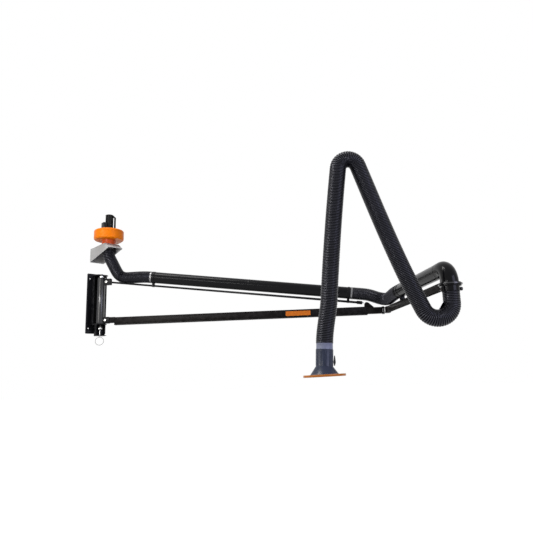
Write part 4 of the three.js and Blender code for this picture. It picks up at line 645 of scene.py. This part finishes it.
# First beam: a rolled tube with a grooved rail along its lower edge and a plain coloured bar on its
# side, plugged and pinned at both ends.
beam_coat = coated("beam black coat", (0.0065, 0.0055, 0.0055), (0.05, 0.045, 0.045), 0.34, gleam=0.06)
beam_1 = from_node("beam_1", "beam_1_rolled", 0.0016, "satin_black", beam_coat)
bar = box_of((2.648, -0.0305, -0.303), (2.984, -0.0298, -0.240))
bar_paint = coated("bar paint", (0.66, 0.17, 0.006), (0.5, 0.1, 0.01), 0.4, peel_depth=0.00008, rubbing=0.4, gleam=0.2)
bar.data.materials.append(bar_paint)
set_down(bar, boom_1_frame)
made_one("beam_1_rolled", beam_1, bar)
from_node("beam_1_head", "beam_1_head_welded", 0.0016, "satin_black", beam_coat)
knuckle_pin = thrown("knuckle_pin_turned", [
    (0.0128, -0.0513), (0.0175, -0.0512), (0.018, -0.0505), (0.018, -0.0436), (0.0128, -0.0433), (0.0128, -0.0243),
    (0.0195, -0.0240), (0.0195, 0.0240), (0.0128, 0.0243), (0.0128, 0.0433), (0.018, 0.0436), (0.018, 0.0505),
    (0.0172, 0.0512), (0.006, 0.0513),
], sides=36)
knuckle_frame = boom_1_frame @ Matrix.Translation((3.958, 0, -0.275))
set_down(knuckle_pin, knuckle_frame)
blackened_steel = plated("blackened steel", (0.10, 0.10, 0.105), (0.05, 0.05, 0.05), 0.35)
finish_piece(knuckle_pin, "knuckle_pin", "zinc", blackened_steel)

# Ducts: seamed steel tube with a rolled bead near each end, coated black. The first lies on two
# saddles over the stay, the second on one saddle over the second beam.
duct_coat = coated("duct black coat", (0.004, 0.004, 0.005), (0.04, 0.04, 0.045), 0.22,
                   peel_depth=0.00002, rubbing=0.3, gleam=0.12)


def duct_profile(length):
    rings = [(0.078, 0), (0.0795, 0), (0.080, 0.0008), (0.080, 0.004)]
    bead_inset = 0.062
    for middle in (bead_inset, length / 2, length - bead_inset):
        rings += [(0.080, middle - 0.014), (0.080, middle - 0.008), (0.0812, middle - 0.005), (0.0818, middle)]
        rings += [(0.0812, middle + 0.005), (0.080, middle + 0.008), (0.080, middle + 0.014)]
    return rings + [(0.080, length - 0.004), (0.080, length - 0.0008), (0.0795, length), (0.078, length), (0.078, 0)]


boom_2_frame = knuckle_frame @ Matrix.Rotation(math.radians(-78.9), 4, "Z")
beam_2_side = 0.048
post_frame = boom_2_frame @ Matrix.Translation((0, beam_2_side, 0))
duct_1_start, duct_1_end, duct_1_level = 0.646, 3.49627, 0.119
duct_2_start, duct_2_end, duct_2_level = 0.545, 1.8997, 0.168
for node, carrier, start, end, level in (
    ("duct_1", stay_frame, duct_1_start, duct_1_end, duct_1_level),
    ("duct_2", post_frame, duct_2_start, duct_2_end, duct_2_level),
):
    duct = thrown(node + "_beaded", duct_profile(end - start), sides=56)
    set_down(duct, carrier @ facing((1, 0, 0), (start, 0, level)))
    finish_piece(duct, node, "satin_black", duct_coat)
for node in ("duct_saddle_inner", "duct_saddle_outer", "duct_2_saddle"):
    from_node(node, node + "_rolled", 0.001, "satin_black", black_coat)

# Hose clamps: a stainless band with turned-up edges, closed by a worm screw in its housing. One sits
# on each end of the ducts that takes a hose, and one on the fan's spigot.
clamp_steel = plated("clamp steel", (0.20, 0.20, 0.205), (0.12, 0.12, 0.125), 0.33)
clamp_width = 0.026
spigot_end = Vector((fan_x, fan_y, 0.7337))
for node, place in (
    ("duct_1_clamp_inner", stay_frame @ facing((1, 0, 0), (duct_1_start, 0, duct_1_level))),
    ("duct_1_clamp_outer", stay_frame @ facing((1, 0, 0), (duct_1_end - clamp_width, 0, duct_1_level))),
    ("duct_2_clamp", post_frame @ facing((1, 0, 0), (duct_2_start, 0, duct_2_level))),
    ("fan_hose_clamp", Matrix.Translation(spigot_end)),
):
    band = thrown("clamp_band", [
        (0.0803, 0.0003), (0.0834, 0.0003), (0.0848, 0.0016), (0.0826, 0.0036), (0.0820, 0.013), (0.0826, 0.0224),
        (0.0848, 0.0244), (0.0834, 0.0258), (0.0803, 0.0258), (0.0803, 0.0003),
    ], sides=64)
    housing = box_of((-0.012, 0.0810, 0.0065), (0.012, 0.0905, 0.0195))
    soften_edges(housing, 0.0024, 3)
    screw = set_down(hex_head(0.0046, 0.006, 0.010), facing((1, 0, 0), (0, 0.0855, 0.013)))
    clamp = set_down(made_one(node + "_banded", band, housing, screw), place)
    finish_piece(clamp, node, "zinc", black_coat if node == "duct_2_clamp" else clamp_steel)

# Second beam, with its hub on the knuckle pin, and the post and flange at its outer end: welded
# tube and plate, coated black.
from_node("knuckle_hub", "knuckle_hub_welded", 0.0014, "satin_black", beam_coat)
from_node("beam_2", "beam_2_tube", 0.003, "satin_black", beam_coat)
from_node("end_post", "end_post_welded", 0.0014, "satin_black", gloss_coat)
from_node("swivel_flange", "swivel_flange_turned", 0.0014, "satin_black", gloss_coat)

# Elbow: a moulded quarter bend with a bolted flange at its foot, glossy black. It brings the air from
# the second duct down into the swivel.
tube_outside, tube_inside, ring_step = 0.083, 0.077, 0.0126
elbow_tube = thrown("elbow_tube", [(tube_inside, 0), (tube_outside, 0)] + [
    (tube_outside, 0.012 + ring_step * i) for i in range(20)] + [(tube_outside, 0.2513), (tube_inside, 0.2513)] + [
    (tube_inside, 0.2387 - ring_step * i) for i in range(19)] + [(tube_inside, 0)], sides=56)


def route_curve(name, points):
    """A curve for a hose or pipe to be bent along, through points in metres."""
    line = bpy.data.curves.new(name, "CURVE")
    line.dimensions = "3D"
    line.use_path = True
    spline = line.splines.new("POLY")
    spline.points.add(len(points) - 1)
    for point, place in zip(spline.points, points):
        point.co = (*place, 1)
    curve = bpy.data.objects.new(name, line)
    bpy.context.scene.collection.objects.link(curve)
    return curve


def bent_along(piece, points):
    """Bends a piece that lies along X to the route through the points."""
    curve = route_curve("route", points)
    bend = piece.modifiers.new("bend", "CURVE")
    bend.object = curve
    bend.deform_axis = "POS_X"
    apply_modifiers(piece)
    bpy.data.objects.remove(curve)


def arc_points(centre, radius, start, end, steps):
    """Points of an arc in the XZ plane, from one angle to another."""
    angles = [start + (end - start) * i / steps for i in range(steps + 1)]
    x, z = centre
    return [Vector((x + radius * math.cos(angle), 0, z + radius * math.sin(angle))) for angle in angles]


swivel_reach = 2.060
swivel_foot = Matrix.Translation((swivel_reach, 0, 0))
elbow_radius = 0.160
elbow_centre = (swivel_reach - elbow_radius, duct_2_level - elbow_radius)
set_down(elbow_tube, facing((1, 0, 0)))
bent_along(elbow_tube, arc_points(elbow_centre, elbow_radius, math.pi / 2, 0, 60))
elbow_flange = thrown("elbow_flange", [
    (0.077, -0.0009), (0.101, -0.0009), (0.102, 0.0), (0.102, 0.0072), (0.101, 0.0081), (0.088, 0.0085),
    (0.083, 0.013), (0.077, 0.013), (0.077, -0.0009),
], sides=64)
set_down(elbow_flange, swivel_foot)
elbow_bolts = bolt_ring(8, 0.0945, 0.0048, 0.0042, seat=0.0080, frame=swivel_foot)
elbow = made_one("duct_elbow_moulded", elbow_tube, elbow_flange, *elbow_bolts)
set_down(elbow, post_frame)
elbow_gloss = coated("elbow gloss", (0.003, 0.003, 0.004), (0.04, 0.04, 0.04), 0.13,
                     peel_depth=0.00002, rubbing=0.15, gleam=0.11)
finish_piece(elbow, "duct_elbow", "gloss_black", elbow_gloss)

# Swivel collar and its clamp knob: a turned, glossy black collar that hangs the hose arm in the
# flange and turns there, and a moulded knob on a stem that clamps it.
hose_arm_frame = post_frame @ swivel_foot @ Matrix.Rotation(math.radians(-94.9), 4, "Z")
collar = thrown("swivel_collar_turned", [
    (0.0762, -0.0783), (0.0845, -0.0783), (0.086, -0.0768), (0.086, -0.0288), (0.0875, -0.0273), (0.0925, -0.0263),
    (0.1025, -0.0263), (0.104, -0.0250), (0.104, -0.0157), (0.1028, -0.0145), (0.0800, -0.0143), (0.0798, -0.0073),
    (0.0762, -0.0073), (0.0762, -0.0783),
], sides=72)
set_down(collar, hose_arm_frame)
finish_piece(collar, "swivel_collar", "gloss_black", elbow_gloss)
knob_plastic = coated("knob plastic", (0.010, 0.010, 0.012), (0.05, 0.05, 0.05), 0.35,
                      peel_depth=0.0003, rubbing=0.2, gleam=0.3)
knob = thrown("lock_knob_moulded", [
    (0.005, 0.0), (0.0058, 0.0006), (0.006, 0.0075), (0.0105, 0.008), (0.0125, 0.0105), (0.0165, 0.0125),
    (0.019, 0.0145), (0.0190, 0.0250), (0.0175, 0.0295), (0.0150, 0.0325), (0.0120, 0.0338), (0.0115, 0.0330),
    (0.004, 0.0330),
], sides=48)


def open_unpicked(piece):
    """Picks a piece with none of its mesh selected, so that a part of the mesh can be."""
    pick(piece)
    bpy.ops.object.mode_set(mode="EDIT")
    bpy.ops.mesh.select_all(action="DESELECT")
    bpy.ops.object.mode_set(mode="OBJECT")


open_unpicked(knob)
grip_begins, lobe_step, hollow = 0.0180, 60, 0.86
for face in knob.data.polygons:
    outwards = math.hypot(face.center.x, face.center.y) > grip_begins
    sector = math.degrees(math.atan2(face.center.y, face.center.x)) % lobe_step
    face.select = outwards and sector < lobe_step / 2
bpy.ops.object.mode_set(mode="EDIT")
bpy.ops.transform.resize(value=(hollow, hollow, 1), center_override=(0, 0, 0.02))
bpy.ops.object.mode_set(mode="OBJECT")
set_down(knob, hose_arm_frame @ facing((-1, 0, 0), (-0.0817, 0, -0.0523)))
finish_piece(knob, "lock_knob", "lead_black", knob_plastic)

# Hoses: coated black fabric drawn over a spiral of spring wire, each turn of wire standing up as a
# rib. They cross the joints, on clamps and spigots at their ends.
weave_group, weave_in, weave_out = skin_group("coated fabric", {
    "Colour": (0.02, 0.02, 0.024, 1), "Worn": (0.06, 0.06, 0.07, 1), "Roughness": 0.4})
creases = noise_at(weave_group, 34, 6)
threads = noise_at(weave_group, 900, 2)
dust = noise_at(weave_group, 5, 5)
worn_mask = mapped(weave_group, dust.outputs["Fac"], 0.45, 0.75, 0, 0.8)
weave_group.links.new(
    mixed(weave_group, worn_mask, weave_in.outputs["Colour"], weave_in.outputs["Worn"]), weave_out.inputs["Colour"])
weave_group.links.new(roughened(weave_group, weave_in, creases, -0.06, 0.1), weave_out.inputs["Roughness"])
crease_height = weave_group.nodes.new("ShaderNodeMath")
crease_height.operation = "MULTIPLY_ADD"
thread_share = 0.2
crease_height.inputs[1].default_value = thread_share
weave_group.links.new(threads.outputs["Fac"], crease_height.inputs[0])
weave_group.links.new(creases.outputs["Fac"], crease_height.inputs[2])
weave_group.links.new(crease_height.outputs[0], weave_out.inputs["Height"])


def hose_fabric(name, colour, worn, roughness, crease_depth, gleam):
    material, shader = skinned(name, weave_group, depth=crease_depth, relief=0.7, values={
        "Colour": colour, "Worn": worn, "Roughness": roughness})
    shader.inputs["Specular IOR Level"].default_value = gleam
    shader.inputs["Specular Tint"].default_value = (0.86, 0.86, 1.0, 1)
    return material


fabric = hose_fabric("hose fabric", (0.0025, 0.0025, 0.0032), (0.006, 0.0055, 0.007), 0.34, 0.0005, 0.03)
# Over the wire the fabric's own and worn colours are lighter and bluer than between the turns: a painted highlight on
# the rib crests.
ridge_wear_and_painted_highlight = hose_fabric("hose over its wire with painted highlight", (0.005, 0.005, 0.007), (0.016, 0.016, 0.022), 0.26, 0.0002, 0.42)


def line_points(a, b, steps):
    return [Vector(a).lerp(Vector(b), i / steps) for i in range(steps + 1)]


def curve_points(handles, steps):
    points = []
    for i in range(steps + 1):
        layer = [Vector(handle) for handle in handles]
        while len(layer) > 1:
            layer = [a.lerp(b, i / steps) for a, b in zip(layer, layer[1:])]
        points.append(layer[0])
    return points


def stretch_of(points, start=0, end=math.inf, step=0.012):
    """Even points along a route, all of it or from start to end metres along it."""
    lengths = [0.0]
    for a, b in zip(points, points[1:]):
        lengths.append(lengths[-1] + (b - a).length)
    end = min(end, lengths[-1])
    count = max(8, round((end - start) / step))
    part = []
    at = 0
    for i in range(count + 1):
        want = start + (end - start) * i / count
        while at < len(points) - 2 and lengths[at + 1] < want:
            at += 1
        span = max(lengths[at + 1] - lengths[at], 1e-9)
        part.append(points[at].lerp(points[at + 1], min(1, max(0, (want - lengths[at]) / span))))
    return part


def length_of(points):
    return sum((b - a).length for a, b in zip(points, points[1:]))


def ribbed_hose(name, points):
    """A hose along the points: one rib of fabric and wire, repeated, bent and given a wall."""
    length = length_of(points)
    wanted_pitch = 0.016
    count = max(2, round(length / wanted_pitch))
    pitch = length / count
    rib = thrown("rib", [
        (0.0803, 0), (0.0808, 0.26 * pitch), (0.0832, 0.37 * pitch), (0.0840, 0.5 * pitch),
        (0.0832, 0.63 * pitch), (0.0808, 0.74 * pitch), (0.0803, pitch),
    ], sides=36, smooth=60)
    open_unpicked(rib)
    for face in rib.data.polygons:
        face.select = len(face.vertices) > 4
    bpy.ops.object.mode_set(mode="EDIT")
    bpy.ops.mesh.delete(type="ONLY_FACE")
    bpy.ops.object.mode_set(mode="OBJECT")
    rib.data.materials.append(fabric)
    rib.data.materials.append(ridge_wear_and_painted_highlight)
    ridge_begins = 0.0810
    for face in rib.data.polygons:
        face.material_index = 1 if math.hypot(face.center.x, face.center.y) > ridge_begins else 0
        face.use_smooth = True
    set_down(rib, facing((1, 0, 0)))
    repeat = rib.modifiers.new("ribs", "ARRAY")
    repeat.use_relative_offset = False
    repeat.use_constant_offset = True
    repeat.constant_offset_displace = (pitch, 0, 0)
    repeat.count = count
    repeat.use_merge_vertices = True
    repeat.merge_threshold = 0.0002
    apply_modifiers(rib)
    bent_along(rib, points)
    wall = rib.modifiers.new("wall", "SOLIDIFY")
    wall.thickness = 0.002
    wall.offset = -1
    apply_modifiers(rib)
    rib.name = name
    return rib


bend_exit_lean = math.radians(24)
riser_lean = math.radians(18.5)
drop_lean = math.radians(8.2)
foot_lean = math.radians(5.5)
neck_lean = math.radians(3)
bend_radius, bend_level = 0.147, -0.185
bend = arc_points((bend_radius, bend_level), bend_radius, math.pi, 2 * math.pi - bend_exit_lean, 60)
peak_centre, peak_radius = (0.919, 1.209), 0.103
peak = arc_points(peak_centre, peak_radius, math.pi - riser_lean, drop_lean, 60)
hood_neck = Vector((1.246, 0, -0.538))
foot_share, foot_inset = 0.7567, 0.011
drop_foot = peak[-1].lerp(hood_neck, foot_share) - Vector((foot_inset, 0, 0))


def leaning(a, lean_a, b, lean_b):
    """The curve of a hose from a to b that leaves and arrives leaning from upright."""
    slackness = 0.34
    handle = slackness * (b - a).length
    rise = math.copysign(1, b.z - a.z)
    way_a, way_b = (Vector((math.sin(lean), 0, math.cos(lean) * rise)) for lean in (lean_a, lean_b))
    return curve_points([a, a + handle * way_a, b - handle * way_b, b], 120)


legs = [
    line_points((0, 0, -0.0786), (0, 0, bend_level), 8),
    bend,
    leaning(bend[-1], bend_exit_lean, peak[0], riser_lean),
    peak,
    leaning(peak[-1], drop_lean, drop_foot, foot_lean),
    leaning(drop_foot, foot_lean, hood_neck, neck_lean),
]
arm_route = [hose_arm_frame @ point for leg in legs for point in leg]
leg_ends = [sum(length_of(leg) for leg in legs[:i + 1]) for i in range(len(legs))]
seat_gap = 0.0003
shoulder_end = leg_ends[1] + 0.070
elbow_begin = leg_ends[2] - 0.250
elbow_finish = leg_ends[3] + 0.250
wrist_begin = leg_ends[4] + 0.030
# Each blend lies close about its joint; only the hose names are used here, and those hoses are left on no body.
blends = {
    "shoulder_hose": ("arm_base", "lower_arm", (0.0492, 0, -0.1642), (0.2301, 0, -0.2027)),
    "elbow_hose": ("lower_arm", "upper_arm", (0.8792, 0, 1.2126), (0.9588, 0, 1.2054)),
    "wrist_hose": ("upper_arm", "hood_joint", drop_foot.lerp(hood_neck, 0.17), drop_foot.lerp(hood_neck, 0.83)),
}
for node, start, end in (
    ("shoulder_hose", 0, shoulder_end), ("riser_hose", shoulder_end + seat_gap, elbow_begin - seat_gap),
    ("elbow_hose", elbow_begin, elbow_finish), ("drop_hose", elbow_finish + seat_gap, wrist_begin - seat_gap),
    ("wrist_hose", wrist_begin, leg_ends[5]),
):
    hose = ribbed_hose(node + "_ribbed", stretch_of(arm_route, start, end))
    if node in blends:
        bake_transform(hose)
        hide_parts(node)
    else:
        finish_piece(hose, node, "hose")


def rounded_route(corners, trims):
    """Points along straight runs between corners, each corner rounded off from its trim in metres."""
    points = []
    start = corners[0]
    for i in range(1, len(corners) - 1):
        corner = corners[i]
        before = corner + (corners[i - 1] - corner).normalized() * trims[i - 1]
        after = corner + (corners[i + 1] - corner).normalized() * trims[i - 1]
        points += line_points(start, before, 20) + curve_points([before, corner, after], 40)
        start = after
    return points + line_points(start, corners[-1], 20)


duct_1_way = stay_frame.to_3x3() @ Vector((1, 0, 0))
duct_2_way = post_frame.to_3x3() @ Vector((1, 0, 0))
duct_1_mouth = stay_frame @ Vector((duct_1_start, 0, duct_1_level)) - duct_1_way * seat_gap
duct_1_outlet = stay_frame @ Vector((duct_1_end, 0, duct_1_level)) + duct_1_way * seat_gap
duct_2_mouth = post_frame @ Vector((duct_2_start, 0, duct_2_level)) - duct_2_way * seat_gap
duct_1_side = stay_frame.to_3x3() @ Vector((0, 1, 0))
fan_points = stretch_of(rounded_route([
    spigot_end,
    spigot_end - Vector((0, 0, 0.080)),
    duct_1_mouth - duct_1_way * 0.488 + duct_1_side * 0.070 - Vector((0, 0, 0.040)),
    duct_1_mouth - duct_1_way * 0.150 - Vector((0, 0, 0.008)),
    duct_1_mouth - duct_1_way * 0.060,
    duct_1_mouth,
], [0.060, 0.125, 0.060, 0.030]))
fan_hose = ribbed_hose("fan_hose_ribbed", fan_points)
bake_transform(fan_hose)
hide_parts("fan_hose")
across = duct_1_way.x * duct_2_way.y - duct_1_way.y * duct_2_way.x
apart = duct_2_mouth - duct_1_outlet
knuckle_corner = duct_1_outlet + duct_1_way * (apart.x * duct_2_way.y - apart.y * duct_2_way.x) / across
sag = 0.042
knuckle_corner.z = duct_2_mouth.z - sag
knuckle_points = stretch_of(rounded_route([
    duct_1_outlet, duct_1_outlet + duct_1_way * 0.215, knuckle_corner, duct_2_mouth - duct_2_way * 0.150, duct_2_mouth,
], [0.080, 0.160, 0.070]))
knuckle_hose = ribbed_hose("knuckle_hose_ribbed", knuckle_points)
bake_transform(knuckle_hose)
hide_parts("knuckle_hose")

# Skeleton inside the hose: cranked links of plated steel on pins with friction discs, which hold the
# arm wherever it is left. It shows at the swivel's and the hood's mouths.
joint_steel = plated("friction joint steel", (0.42, 0.42, 0.42), (0.22, 0.22, 0.22), 0.4)
for node in ("base_bracket", "lower_link", "upper_link", "hood_hanger"):
    from_node(node, node + "_pressed", 0.0008, "link_steel", zinc)
for node in ("shoulder_pin", "elbow_pin", "wrist_pin"):
    from_node(node, node + "_with_discs", 0.0008, "joint_iron", joint_steel)

# Hood: a ribbed grey-blue moulded neck that flares to a short cone, a soft cuff that takes the hose,
# and a flat orange rim ring with a rolled edge round the mouth, its orange darkened as painted shade.
wrist_rise, wrist_level = 0.108, -0.430
wrist_place = Matrix.Translation((hood_neck.x - wrist_rise * math.tan(neck_lean), 0, wrist_level))
hood_frame = hose_arm_frame @ wrist_place @ Matrix.Rotation(-neck_lean, 4, "Y")
hood_top = -wrist_rise / math.cos(neck_lean) - seat_gap
cylinder_length, cone_height = 0.214, 0.076
cylinder_foot = hood_top - cylinder_length
cone_foot = cylinder_foot - cone_height
rim_lean = math.radians(4.5)
hood_plastic = coated("hood moulding", (0.021, 0.028, 0.054), (0.06, 0.07, 0.11), 0.30,
                      peel_depth=0.00015, rubbing=0.3, gleam=0.22)


def lean_below(piece, level, middle):
    """Turns the part of a piece that lies below the level, so that its mouth is oblique."""
    open_unpicked(piece)
    for vertex in piece.data.vertices:
        vertex.select = (piece.matrix_world @ vertex.co).z < level
    bpy.ops.object.mode_set(mode="EDIT")
    bpy.ops.transform.rotate(value=-rim_lean, orient_axis="Y", center_override=(0, 0, middle))
    bpy.ops.object.mode_set(mode="OBJECT")


hood_shell = thrown("hood_shell", [
    (0.0739, hood_top), (0.0758, hood_top), (0.0767, hood_top - 0.001), (0.0767, hood_top - 0.0568),
    (0.0790, hood_top - 0.0573), (0.0800, hood_top - 0.0583), (0.080, cylinder_foot + 0.002),
    (0.0820, cylinder_foot - 0.003), (0.1300, cone_foot + 0.0055), (0.134, cone_foot + 0.002), (0.134, cone_foot),
    (0.131, cone_foot), (0.127, cone_foot + 0.0035), (0.079, cylinder_foot - 0.003), (0.077, cylinder_foot + 0.002),
    (0.077, hood_top - 0.063), (0.0739, hood_top - 0.063), (0.0739, hood_top),
], sides=96)
lean_below(hood_shell, cone_foot + 0.01, cone_foot)
first_ridge = box_of((0.0785, -0.0045, cylinder_foot + 0.002), (0.0828, 0.0045, hood_top - 0.0583))
soften_edges(first_ridge, 0.0018, 3)
hood_body = set_down(made_one("hood_moulded", hood_shell, *ring_of(first_ridge, 12)), hood_frame)
finish_piece(hood_body, "hood_body", "hood_grey", hood_plastic)
cuff_rubber = coated("cuff rubber", (0.19, 0.205, 0.29), (0.24, 0.25, 0.36), 0.42,
                     peel_depth=0.0003, rubbing=0.3, gleam=0.3)
cuff = thrown("hood_cuff_moulded", [
    (0.0770, -0.0570), (0.0792, -0.0570), (0.0800, -0.0562), (0.0800, -0.050), (0.0790, -0.048), (0.0790, -0.009),
    (0.0800, -0.007), (0.0800, -0.0008), (0.0792, 0), (0.0770, 0), (0.0770, -0.0570),
], sides=72)
set_down(cuff, hood_frame @ Matrix.Translation((0, 0, hood_top)))
finish_piece(cuff, "hood_cuff", "cuff_grey", cuff_rubber)
# The rim's own orange, darkened towards the dark brown of its shaded top: painted shade.
rim_orange = coated("rim orange with painted shade", (0.46, 0.14, 0.010), (0.4, 0.1, 0.01), 0.34,
                    peel_depth=0.0001, rubbing=0.3, gleam=0.25)
rim = thrown("hood_rim_rolled", [
    (0.128, -0.0065), (0.129, -0.007), (0.190, -0.007), (0.193, -0.009), (0.193, -0.0165), (0.1940, -0.0205),
    (0.1965, -0.022), (0.1990, -0.0205), (0.200, -0.018), (0.200, -0.005), (0.1988, -0.0018), (0.1955, 0),
    (0.129, 0), (0.128, -0.0006), (0.128, -0.0065),
], sides=96)
set_down(rim, Matrix.Translation((0, 0, cone_foot - seat_gap)))
lean_below(rim, 0, cone_foot)
set_down(rim, hood_frame)
finish_piece(rim, "hood_rim", "rim_orange", rim_orange)

# Damper: a round steel flap on a spindle across the hood's neck, and a pointed lever outside that turns
# with them and shows how far the damper is open.
flap_steel = plated("flap steel", (0.38, 0.38, 0.38), (0.25, 0.25, 0.25), 0.42)
from_node("damper_flap", "damper_flap_on_spindle", 0.0005, "flap_steel", flap_steel)
from_node("damper_lever", "damper_lever_moulded", 0.0014, "lead_black", knob_plastic)
